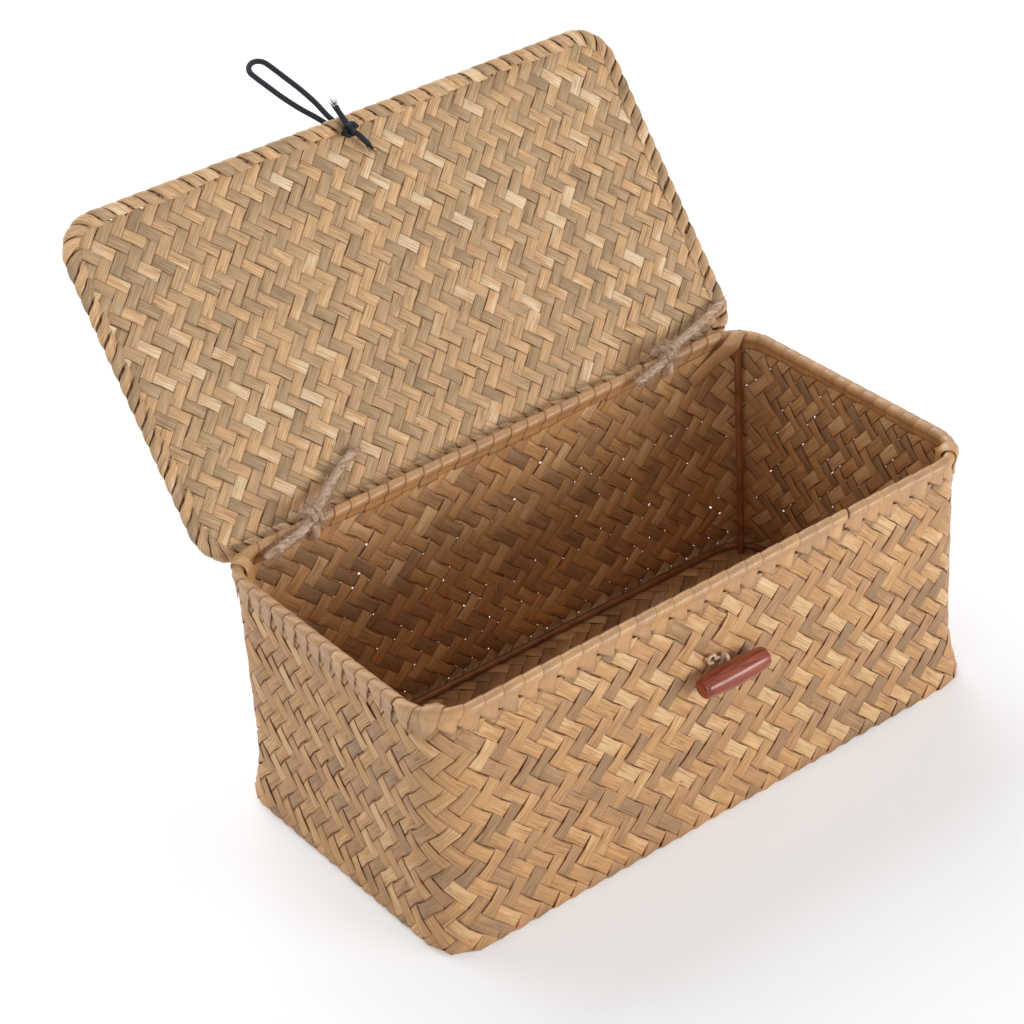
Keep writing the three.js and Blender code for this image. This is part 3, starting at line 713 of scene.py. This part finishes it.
lid_folds = fold_strips(lid_fold_place, lid_fold_count, lid_fold_spacing, {
    "lean": 0.95, "widths": (0.84, 0.98), "narrowing": 0, "crown": 0.35 * MM,
    "outer": [(7.5 * MM, 9.5 * MM), (7.5 * MM, 9.5 * MM)], "inner": (7.5 * MM, 9.5 * MM),
    "end_lifts": (-0.8 * MM, -0.8 * MM), "tone": lambda index: strip_tone(index, 0.4, 0.6),
})
lid_border = strips_object("lid_border_strips", lid_folds, lid_seagrass)
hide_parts("lid_rim")
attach(lid_border, "lid")

# Hinge ties: three-ply jute twine, passed once round the rim and the lid's border through both
# sheets and knotted at the crease, with two loose tails left long.
TWINE_RADIUS = 2.0 * MM
TWINE_TWIST = 11 * MM
TIE_PLACE = 100 * MM
TIE_CLEARANCE = 0.3 * MM
TIE_KNOT_ANGLE = math.radians(120)
TIE_KNOT_REACH = 7.5 * MM
TIE_KNOT_WRAP = 2.6 * MM
TIE_DRIFT = 1.4 * MM
TWINE_STEP = 0.7 * MM
FUZZ_COUNT = 1500
FUZZ_RADII = np.array([0.1, 0.09, 0.04]) * MM
# A loose fibre's root in the cord, its lean along it, how far it stands off, its size and its bend
FUZZ_ROOT = 0.8
FUZZ_LEAN = 0.8
FUZZ_STAND = (0.3, 1.0)
FUZZ_SIZES = (0.4, 1.0)
FUZZ_BEND = 0.35
# A ply's place off the cord's middle and its own radius, as shares of the cord's radius
PLY_OFFSET = 0.32
PLY_RADIUS = 0.7
SPAN_POINTS = 40
OFF_ALL_AXES = (0.31, 0.2, 0.93)
TIE_TAILS = {
    -1: {"on_lid": [(9, 7.5, 9.4), (18, 12.5, 5.6), (28, 18, 4), (37, 21.5, 3.7)],
         "inside": [(-8, -6.9, 3.6), (-18, -6.7, 0.6), (-28, -6.3, -2.4)]},
    1: {"on_lid": [(12, 5.5, 9.4), (24, 8, 6), (36, 11.2, 4.8), (46, 14.3, 4.4)],
        "inside": [(-7, -6.9, 4.4), (-14, -7.1, 2.4), (-22, -6.7, 0.2)]},
}


def smooth_line(points, step):
    """A smooth curve through points, as points a step apart."""
    points = np.asarray(points, float)
    padded = np.vstack([2 * points[0] - points[1], points, 2 * points[-1] - points[-2]])
    t = np.linspace(0, 1, SPAN_POINTS, endpoint=False)[:, None]
    pieces = []
    for k in range(1, len(points)):
        a, b, c, d = padded[k - 1:k + 3]
        before, between, after = (np.sqrt(np.linalg.norm(chord)) for chord in (b - a, c - b, d - c))
        start = ((b - a) / before - (c - a) / (before + between)) * between + c - b
        end = ((d - c) / after - (d - b) / (between + after)) * between + c - b
        pieces.append(b + start * t + (3 * (c - b) - 2 * start - end) * t ** 2
                      + (2 * (b - c) + start + end) * t ** 3)
    fine = np.vstack([*pieces, points[-1:]])
    return evenly(fine, step)


def evenly(line, step):
    """The same line with its points a step apart."""
    lengths = lengths_along(line)
    places = np.linspace(0, lengths[-1], max(3, int(round(lengths[-1] / step)) + 1))
    return np.stack([np.interp(places, lengths, line[:, axis]) for axis in range(3)], axis=-1)


def line_frames(line):
    """Directions along a line and two across it that don't twist."""
    ahead = unit(np.gradient(line, axis=0))
    side = np.cross(ahead[0], OFF_ALL_AXES)
    sides = []
    for direction in ahead:
        side = unit(side - direction * (side @ direction))
        sides.append(side)
    sides = np.array(sides)
    return ahead, sides, np.cross(ahead, sides)


def tube(line, radii, sides):
    """Rings of points of a round tube along a line, and their marks: along it and around it."""
    _, left, up = line_frames(line)
    around = np.arange(sides) / sides * 2 * math.pi
    ring = np.cos(around)[None, :, None] * left[:, None] + np.sin(around)[None, :, None] * up[:, None]
    rings = line[:, None] + ring * np.broadcast_to(radii, len(line))[:, None, None]
    marks = np.zeros(rings.shape)
    marks[..., 0] = lengths_along(line)[:, None]
    marks[..., 1] = around[None, :] / (2 * math.pi)
    return rings, marks


def cord_object(name, tubes, material):
    """One mesh of several tubes, each with its own tone in the third mark."""
    for _, marks in tubes:
        marks[..., 2] = random.random()
    return skins_object(name, tubes, "strand", material)


def plies(line, radius, twist, count, taper=1.0):
    """The strands of a twisted cord along a line; a taper under 1 thins both ends."""
    _, left, up = line_frames(line)
    along = lengths_along(line)
    near_end = np.minimum(along, along[-1] - along) / (2 * radius)
    size = np.minimum(taper + (1 - taper) * near_end, 1)
    strands = []
    for ply in range(count):
        turn = 2 * math.pi * (ply / count + along / twist)
        offset = np.cos(turn)[:, None] * left + np.sin(turn)[:, None] * up
        ply_line = line + offset * (PLY_OFFSET * radius * size)[:, None]
        strands.append(tube(ply_line, PLY_RADIUS * radius * size, 8))
    return strands


def fuzz(line, radius, count, length):
    """Loose fibres that stand off a twisted cord."""
    fibres = []
    ahead, left, up = line_frames(line)
    for _ in range(count):
        k = random.integers(0, len(line))
        turn = random.uniform(0, 2 * math.pi)
        out = math.cos(turn) * left[k] + math.sin(turn) * up[k]
        run = ahead[k] * random.normal(0, FUZZ_LEAN) + out * random.uniform(*FUZZ_STAND)
        size = random.uniform(*FUZZ_SIZES) * length
        root = line[k] + out * radius * FUZZ_ROOT
        bend = random.normal(0, FUZZ_BEND, 3) * size
        fibre = np.array([root, root + run * size * 0.5, root + run * size + bend])
        fibres.append(tube(fibre, FUZZ_RADII, 3))
    return fibres


# Jute twine: coarse bast fibre, dull and pale brown, with darker strands among the light ones
JUTE_FIBRE = 5 * MM
JUTE_FIBRES_ROUND = 9
JUTE_STRANDS_APART = 40
jute, tree, shader = new_material("jute_twine", Roughness=0.85, Specular_IOR_Level=0.25)
strand = add(tree, "ShaderNodeAttribute", attribute_name="strand").outputs["Vector"]
stretch = (1 / JUTE_FIBRE, JUTE_FIBRES_ROUND, JUTE_STRANDS_APART)
spot = add(tree, "ShaderNodeVectorMath", {0: strand, 1: stretch}, operation="MULTIPLY").outputs[0]
fibre = add(tree, "ShaderNodeTexNoise", {"Vector": spot, "Scale": 1.0, "Detail": 3.0}).outputs["Fac"]
ramp = add(tree, "ShaderNodeValToRGB", {"Fac": fibre})
lay_tones(ramp, [(0.28, "#BE9876"), (0.7, "#F8E2CC")])
give_surface(tree, shader, ramp.outputs["Color"], fibre, 0.6, 0.25 * MM)


def coil(turns, half_length, across, points=40):
    """Points of a close coil: along it, and across it one way and the other."""
    spin = np.linspace(0, turns * 2 * math.pi, points)
    along = np.linspace(-half_length, half_length, points)
    return np.column_stack([along, across[0] * np.cos(spin), across[1] * np.sin(spin)])


lid_way = -open_angle + math.pi / 2
tie_loop_radius = RIM_RADIUS + TIE_CLEARANCE + TWINE_RADIUS


def tie_loop():
    """Once round the basket's wire and the lid's, about the hinge line, from the knot to the knot."""
    first = np.linspace(TIE_KNOT_ANGLE, lid_way + 1.5 * math.pi, 10)
    second = np.linspace(lid_way - math.pi / 2, lid_way + math.pi / 2, 14)
    third = np.linspace(lid_way + math.pi / 2, TIE_KNOT_ANGLE, 6)
    centre = LID_LIFT * np.array([math.cos(lid_way), math.sin(lid_way)])
    rounds = [(first, np.zeros(2)), (second, centre), (third, np.zeros(2))]
    flat = np.vstack([
        middle + tie_loop_radius * np.stack([np.cos(a), np.sin(a)], axis=-1) for a, middle in rounds
    ])
    drift = np.linspace(-TIE_DRIFT, TIE_DRIFT, len(flat))
    return np.column_stack([drift, flat])


for side, name in ((-1, "left"), (1, "right")):
    tails = TIE_TAILS[side]
    origin = np.array([side * TIE_PLACE, hinge_y, hinge_z])
    knot = TIE_KNOT_REACH * np.array([0, math.cos(TIE_KNOT_ANGLE), math.sin(TIE_KNOT_ANGLE)])
    rising = [on_lid(x * MM, up * MM, -off * MM) - (0, hinge_y, hinge_z) for x, up, off in tails["on_lid"]]
    inner = [np.array(point) * MM for point in tails["inside"]]
    wrap = coil(2, TIE_KNOT_WRAP, (TIE_KNOT_WRAP, TIE_KNOT_WRAP))
    routes = [tie_loop(), [knot, *rising], [knot, *inner], knot + wrap]
    lines = [smooth_line(route, TWINE_STEP) for route in routes]
    strands = []
    for line, radius in zip(lines, (1, 1, 1, 0.85)):
        strands += plies(line + origin, radius * TWINE_RADIUS, TWINE_TWIST, 3, 0.7)
    for line, share, length in zip(lines[1:], (0.35, 0.3, 0.35), (3.6, 3.6, 4.5)):
        strands += fuzz(line + origin, TWINE_RADIUS, int(FUZZ_COUNT * share), length * MM)
    tie = cord_object(f"{name}_twine_tie", strands, jute)
    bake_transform(tie)
    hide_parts(f"{name}_hinge_tie")

# Elastic loop: round braided elastic, doubled and pushed up through the lid's border, where it
# leans back by its own spring. It closes the box over the toggle.
ELASTIC_RADIUS = 1.3 * MM
ELASTIC_STEP = 0.6 * MM
LOOP_LENGTH = 52 * MM
LOOP_HALF_WIDTH = 5.4 * MM
LOOP_LEAN = math.radians(26)
LOOP_DRIFT = 15.4 * MM
LOOP_OPENING = [(0.2, 0.45), (0.4, 0.8), (0.6, 0.97), (0.8, 1)]
ELASTIC_PAIR = 1.45 * MM
ELASTIC_HOLE_INSET = 5 * MM
FOLD_OUTSIDE = 2.2 * MM
elastic_turn = FOLD_OUTSIDE + TIE_CLEARANCE + ELASTIC_RADIUS

# Braided nylon over rubber: near black, a little blue, with a fine lattice of yarns. Its colour is
# lighter on the yarns' crests, a painted highlight, and darker in the hollows between them, a painted shade
BRAID_LENGTH = 2.2 * MM
BRAID_YARNS = 4
elastic, tree, shader = new_material("braided_elastic", Roughness=0.6, Specular_IOR_Level=0.3)
strand = add(tree, "ShaderNodeAttribute", attribute_name="strand").outputs["Vector"]
stretch = (2 * math.pi / BRAID_LENGTH, 2 * math.pi * BRAID_YARNS, 0)
wound = add(tree, "ShaderNodeVectorMath", {0: strand, 1: stretch}, operation="MULTIPLY").outputs[0]
parts = add(tree, "ShaderNodeSeparateXYZ", {"Vector": wound}).outputs
yarns = []
for crossing in ("ADD", "SUBTRACT"):
    way = add(tree, "ShaderNodeMath", {0: parts["X"], 1: parts["Y"]}, operation=crossing).outputs[0]
    yarns.append(add(tree, "ShaderNodeMath", {0: way}, operation="SINE").outputs[0])
lattice = add(tree, "ShaderNodeMath", {0: yarns[0], 1: yarns[1]}, operation="MULTIPLY").outputs[0]
shade = add(tree, "ShaderNodeMapRange", {0: lattice, 1: -1.0, 2: 1.0, 3: 0.0, 4: 1.0}).outputs[0]
# The lattice colours the braid: painted highlight on the yarns' crests, painted shade between them
ramp = add(tree, "ShaderNodeValToRGB", {"Fac": shade})
lay_tones(ramp, [(0.0, "#0E1014"), (1.0, "#2A2F37")])
give_surface(tree, shader, ramp.outputs["Color"], shade, 0.5, 0.2 * MM)

loop_straight = LOOP_LENGTH - LOOP_HALF_WIDTH - ELASTIC_RADIUS
opening = [(reach * loop_straight, aside * LOOP_HALF_WIDTH) for reach, aside in LOOP_OPENING]
strand_out = [(0, ELASTIC_PAIR), *opening]
loop_heading = math.atan(LOOP_DRIFT / LOOP_LENGTH)
loop_tip = []
for angle in np.linspace(0, math.pi, 13):
    on_arc = LOOP_HALF_WIDTH * math.cos(loop_heading) * math.sin(angle + loop_heading)
    loop_tip.append((loop_straight + on_arc, LOOP_HALF_WIDTH * math.cos(angle)))
strand_back = [(reach, -aside) for reach, aside in reversed(strand_out)]
loop_points = []
for reach, aside in [*strand_out, *loop_tip, *strand_back]:
    x = aside - LOOP_DRIFT * reach / LOOP_LENGTH
    forward = reach * math.cos(LOOP_LEAN) - elastic_turn * math.tan(LOOP_LEAN)
    loop_points.append(on_lid(x, 2 * lid_half_width + forward, elastic_turn + reach * math.sin(LOOP_LEAN)))
loop_line = smooth_line(loop_points, ELASTIC_STEP)
loop_cord = cord_object("elastic_loop_cord", [tube(loop_line, ELASTIC_RADIUS, 12)], elastic)
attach(loop_cord, "latch_loop")
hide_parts("elastic_loop")

# Elastic knot: both ends of the loop tied in an overhand knot on the lid's inner face, with the
# cut ends frayed to threads.
KNOT_RADIUS = 3.5 * MM
KNOT_STEP = 0.5 * MM
KNOT_HALF_LENGTH = 2 * MM
KNOT_ACROSS = (2.2 * MM, 2.0 * MM)
FRAYED_THREADS = 26
THREAD_RADII = np.array([0.14, 0.12, 0.06]) * MM
THREAD_SPREAD = 0.35
THREAD_ROOTS = 0.5
THREAD_LENGTHS = (1.5, 4)
KNOT_TO_OUTSIDE = 9.6
ELASTIC_ENDS = [
    [(-0.8, -5, 0.4), (-1.3, -9, 0.9), (-1.6, -12, 1.4)],
    [(2.8, 3.8, 0.2), (4.6, 7, 0.6), (5.8, 9.4, 1)],
]
knot_up = 2 * lid_half_width - ELASTIC_HOLE_INSET
knot_off = -(FOLD_OUTSIDE + TIE_CLEARANCE + KNOT_RADIUS)


def by_knot(points):
    """Points about the knot, given along the box, back from the lid's edge and off its inner face."""
    points = np.asarray(points, float)
    return on_lid(points[:, 0], knot_up - points[:, 1], knot_off + points[:, 2])


lump = coil(1.8, KNOT_HALF_LENGTH, KNOT_ACROSS, 50)
cords = [tube(smooth_line(by_knot(lump), KNOT_STEP), ELASTIC_RADIUS, 10)]
for side in (-1, 1):
    through = [(side * ELASTIC_PAIR, 0, z * MM) for z in np.linspace(0, KNOT_TO_OUTSIDE, 5)]
    cords.append(tube(smooth_line(by_knot(through), ELASTIC_STEP), ELASTIC_RADIUS, 10))
for end in ELASTIC_ENDS:
    line = smooth_line(by_knot([(0, 0, 0), *(np.array(end) * MM)]), ELASTIC_STEP)
    cords.append(tube(line, ELASTIC_RADIUS, 10))
    ahead = unit(line[-1] - line[-4])
    for _ in range(FRAYED_THREADS):
        spread = ahead + random.normal(0, THREAD_SPREAD, 3)
        root = line[-1] + random.normal(0, THREAD_ROOTS, 3) * MM
        length = random.uniform(*THREAD_LENGTHS) * MM
        thread = np.array([root - ahead * MM, root + spread * length * 0.5, root + spread * length])
        cords.append(tube(thread, THREAD_RADII, 4))
elastic_knot = cord_object("elastic_knot_cord", cords, elastic)
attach(elastic_knot, "lid")
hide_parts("elastic_knot")
on_lid(0, knot_up, 0)
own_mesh(elastic_knot)

# Toggle: a turned hardwood barrel, thicker in its middle, stained red-brown and lacquered. A cross
# hole behind its axis takes the cord that holds it on the front wall.
TOGGLE_RADIUS = 5.8 * MM
TOGGLE_END_RADIUS = 4.8 * MM
TOGGLE_END_ROUND = 2 * MM
TOGGLE_SIDES = 48
toggle_low, toggle_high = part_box("toggle")
toggle_middle = (toggle_low + toggle_high) / 2
toggle_half = (toggle_high.x - toggle_low.x) / 2
straight = toggle_half - TOGGLE_END_ROUND
crown = [
    (share * straight, TOGGLE_RADIUS - (TOGGLE_RADIUS - TOGGLE_END_RADIUS) * share ** 2)
    for share in np.linspace(0, 1, 7)[:-1]
]
rounded_end = [
    (straight + TOGGLE_END_ROUND * math.sin(a), TOGGLE_END_RADIUS - TOGGLE_END_ROUND * (1 - math.cos(a)))
    for a in np.linspace(0, math.pi / 2, 6)
]
right_half = [*crown, *rounded_end]
stations = [(-x, r) for x, r in reversed(right_half[1:])] + right_half

deselect()
bpy.ops.mesh.primitive_circle_add(
    vertices=TOGGLE_SIDES, radius=stations[0][1], fill_type="NGON", rotation=(0, math.pi / 2, 0),
    location=(stations[0][0], toggle_middle.y, toggle_middle.z),
)
toggle = bpy.context.object
toggle.name = "toggle_barrel"
bpy.ops.object.transform_apply(location=True, rotation=True, scale=True)
bpy.ops.object.mode_set(mode="EDIT")
bpy.ops.mesh.select_all(action="SELECT")
for (x, radius), (next_x, next_radius) in zip(stations[:-1], stations[1:]):
    bpy.ops.mesh.extrude_region_move(TRANSFORM_OT_translate={"value": (next_x - x, 0, 0)})
    scale = next_radius / radius
    on_axis = (next_x, toggle_middle.y, toggle_middle.z)
    bpy.ops.transform.resize(value=(1, scale, scale), center_override=on_axis)
face_outwards()
bpy.ops.object.shade_smooth_by_angle(angle=math.radians(40))

# Lacquered hardwood: red-brown stain with streaks along the grain under a clear, glossy film
GRAIN_LENGTH = 14 * MM
GRAIN_WIDTH = 1.1 * MM
wood, tree, shader = new_material(
    "lacquered_hardwood", Roughness=0.4, Specular_IOR_Level=0.15,
    Coat_Weight=0.8, Coat_Roughness=0.16, Coat_IOR=1.5,
)
place = add(tree, "ShaderNodeTexCoord").outputs["Object"]
stretch = (1 / GRAIN_LENGTH, 1 / GRAIN_WIDTH, 1 / GRAIN_WIDTH)
spot = add(tree, "ShaderNodeMapping", {"Vector": place, "Scale": stretch}).outputs[0]
grain = add(tree, "ShaderNodeTexNoise", {"Vector": spot, "Scale": 1.0, "Detail": 4.0}).outputs["Fac"]
ramp = add(tree, "ShaderNodeValToRGB", {"Fac": grain})
lay_tones(ramp, [(0.3, "#661F0E"), (0.72, "#BA5430")])
give_surface(tree, shader, ramp.outputs["Color"], grain, 0.12, 0.1 * MM)
toggle.data.materials.append(wood)
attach(toggle, "toggle")
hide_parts("toggle")

# Sewing cord: thin three-ply cord of the same jute, sewn as an eye through the toggle, taken through
# the front wall and knotted inside. One end is left outside as a small curl.
CORD_RADIUS = 0.9 * MM
CORD_TWIST = 4 * MM
EYE_ROUND = 1.6 * MM
SHANK_ENDS = (-76 * MM, -74.9 * MM)
SHANK_RADIUS = 1.7 * MM
SHANK_TWIST = 6 * MM
CURL_CORD_RADIUS = 0.7 * MM
CURL_START = [(0, 4 * MM), (-2.5 * MM, 5.4 * MM)]
CURL_MIDDLE = (-6.4 * MM, 6.6 * MM)
CURL_RADIUS = 2 * MM
CURL_OFF_WALL = 0.6 * MM
INNER_KNOT_RADIUS = 2 * MM
INNER_KNOT_HALF_LENGTH = 1.6 * MM
INNER_CORD_RADIUS = 1.1 * MM
cord_low, cord_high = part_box("toggle_cord")
eye_y = cord_low.y + CORD_RADIUS
wall_y = -(rim_half_width + SHEET_HALF + TIE_CLEARANCE + CORD_RADIUS)
eye_half = (cord_high.z - cord_low.z) / 2 - CORD_RADIUS
eye = []
for angle in np.linspace(0, math.pi, 9):
    y = (eye_y + wall_y) / 2 - (wall_y - eye_y) / 2 * math.cos(angle)
    eye.append((0, y, eye_half - EYE_ROUND + EYE_ROUND * math.sin(angle)))
eye = eye + [(x, y, -z) for x, y, z in reversed(eye)] + [eye[0]]
eye_line = smooth_line(np.array(eye) + (0, 0, toggle_middle.z), 0.5 * MM)
shank = [(0, y, toggle_middle.z) for y in (wall_y, *SHANK_ENDS)]
shank_line = smooth_line(shank, 0.4 * MM)
curl = [(x, wall_y, toggle_middle.z + up) for x, up in CURL_START]
for angle in np.radians(np.linspace(-20, 290, 12)):
    x = CURL_MIDDLE[0] + CURL_RADIUS * math.cos(angle)
    z = toggle_middle.z + CURL_MIDDLE[1] + CURL_RADIUS * math.sin(angle)
    curl.append((x, wall_y - CURL_OFF_WALL, z))
curl_line = smooth_line(curl, 0.4 * MM)
sewing = plies(eye_line, CORD_RADIUS, CORD_TWIST, 3) + plies(shank_line, SHANK_RADIUS, SHANK_TWIST, 3)
sewing += plies(curl_line, CURL_CORD_RADIUS, CORD_TWIST, 3)
toggle_cord = cord_object("toggle_sewing_cord", sewing, jute)
turns = coil(2, INNER_KNOT_HALF_LENGTH, (INNER_KNOT_RADIUS, INNER_KNOT_RADIUS))[:, [1, 0, 2]]
knot_low, knot_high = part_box("toggle_knot")
knot_line = smooth_line(turns + np.array((knot_low + knot_high) / 2), 0.5 * MM)
inner_knot = cord_object("toggle_inner_knot", plies(knot_line, INNER_CORD_RADIUS, CORD_TWIST, 3), jute)
for cord, node in ((toggle_cord, "toggle_cord"), (inner_knot, "toggle_knot")):
    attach(cord, "toggle")
    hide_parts(node)

# Stage: a white paper floor, soft lamps in front, at the left and high behind, which throws the
# soft shadow forward, and a camera at the photograph's view.
AZIMUTH = math.radians(-35.635)
ELEVATION = math.radians(33.160)
ROLL = math.radians(-4.054)
DISTANCE = 1197.06 * MM
TARGET = Vector((-47.242, 0, 139.843)) * MM
PHOTO_SIDE = 1024
FOCAL_PIXELS = 2854.35
SENSOR = 36

back = Vector((
    math.sin(AZIMUTH) * math.cos(ELEVATION), -math.cos(AZIMUTH) * math.cos(ELEVATION), math.sin(ELEVATION),
))
level = Vector((math.cos(AZIMUTH), math.sin(AZIMUTH), 0))
upright = back.cross(level)
right = math.cos(ROLL) * level + math.sin(ROLL) * upright
above = math.cos(ROLL) * upright - math.sin(ROLL) * level
deselect()
bpy.ops.object.camera_add()
camera = bpy.context.object
turned = Matrix((right, above, back)).transposed().to_4x4()
camera.matrix_world = Matrix.Translation(TARGET + back * DISTANCE) @ turned
camera.data.sensor_width = SENSOR
camera.data.lens = SENSOR * FOCAL_PIXELS / PHOTO_SIDE
camera.data.clip_start = 0.05
camera.data.clip_end = 100
bpy.context.scene.camera = camera

bpy.ops.mesh.primitive_plane_add(size=12, location=(0, 0, 0))
floor = bpy.context.object
floor.name = "floor"
# Matt white paper: full white to the camera where it is lit, and it keeps the box's soft shadow
FLOOR_GLOW = 0.36
ROOM_FILL = 0.31
floor_paper, tree, shader = new_material("white_paper", Roughness=0.9, Specular_IOR_Level=0.1)
shader.inputs["Base Color"].default_value = linear("#EEF1F6")
shader.inputs["Emission Color"].default_value = (1, 1, 1, 1)
floor.data.materials.append(floor_paper)


def to_the_eye(tree, elsewhere, seen):
    """One value for rays that the camera, a reflection or a see-through surface sends, else another."""
    path = add(tree, "ShaderNodeLightPath").outputs
    rays = path["Is Camera Ray"]
    for kind in ("Is Glossy Ray", "Is Transmission Ray"):
        rays = add(tree, "ShaderNodeMath", {0: rays, 1: path[kind]}, operation="MAXIMUM").outputs[0]
    return add(tree, "ShaderNodeMapRange", {0: rays, 1: 0.0, 2: 1.0, 3: elsewhere, 4: seen}).outputs[0]


tree.links.new(to_the_eye(tree, 0.0, FLOOR_GLOW), shader.inputs["Emission Strength"])
world = bpy.data.worlds.new("studio")
bpy.context.scene.world = world
world.use_nodes = True
tree = world.node_tree
background = tree.nodes["Background"]
background.inputs["Color"].default_value = (1, 1, 1, 1)
tree.links.new(to_the_eye(tree, ROOM_FILL, 1.0), background.inputs["Strength"])
LAMP_AIM = Vector((0, 0, 0.1))


def softbox(name, place, size, power):
    """A soft lamp aimed at the box."""
    deselect()
    bpy.ops.object.light_add(type="AREA", location=place)
    lamp = bpy.context.object
    lamp.name = name
    lamp.data.shape = "RECTANGLE"
    lamp.data.size, lamp.data.size_y = size
    lamp.data.energy = power
    lamp.rotation_euler = (LAMP_AIM - Vector(place)).to_track_quat("-Z", "Y").to_euler()


softbox("front_softbox", (1.2, -2.3, 0.55), (1.6, 0.9), 36)
softbox("left_softbox", (-2.3, -1.1, 0.5), (1.4, 0.9), 11)
softbox("back_softbox", (0.1, 1.8, 1.7), (3.0, 2.2), 46)
bpy.context.scene.view_settings.view_transform = "Standard"
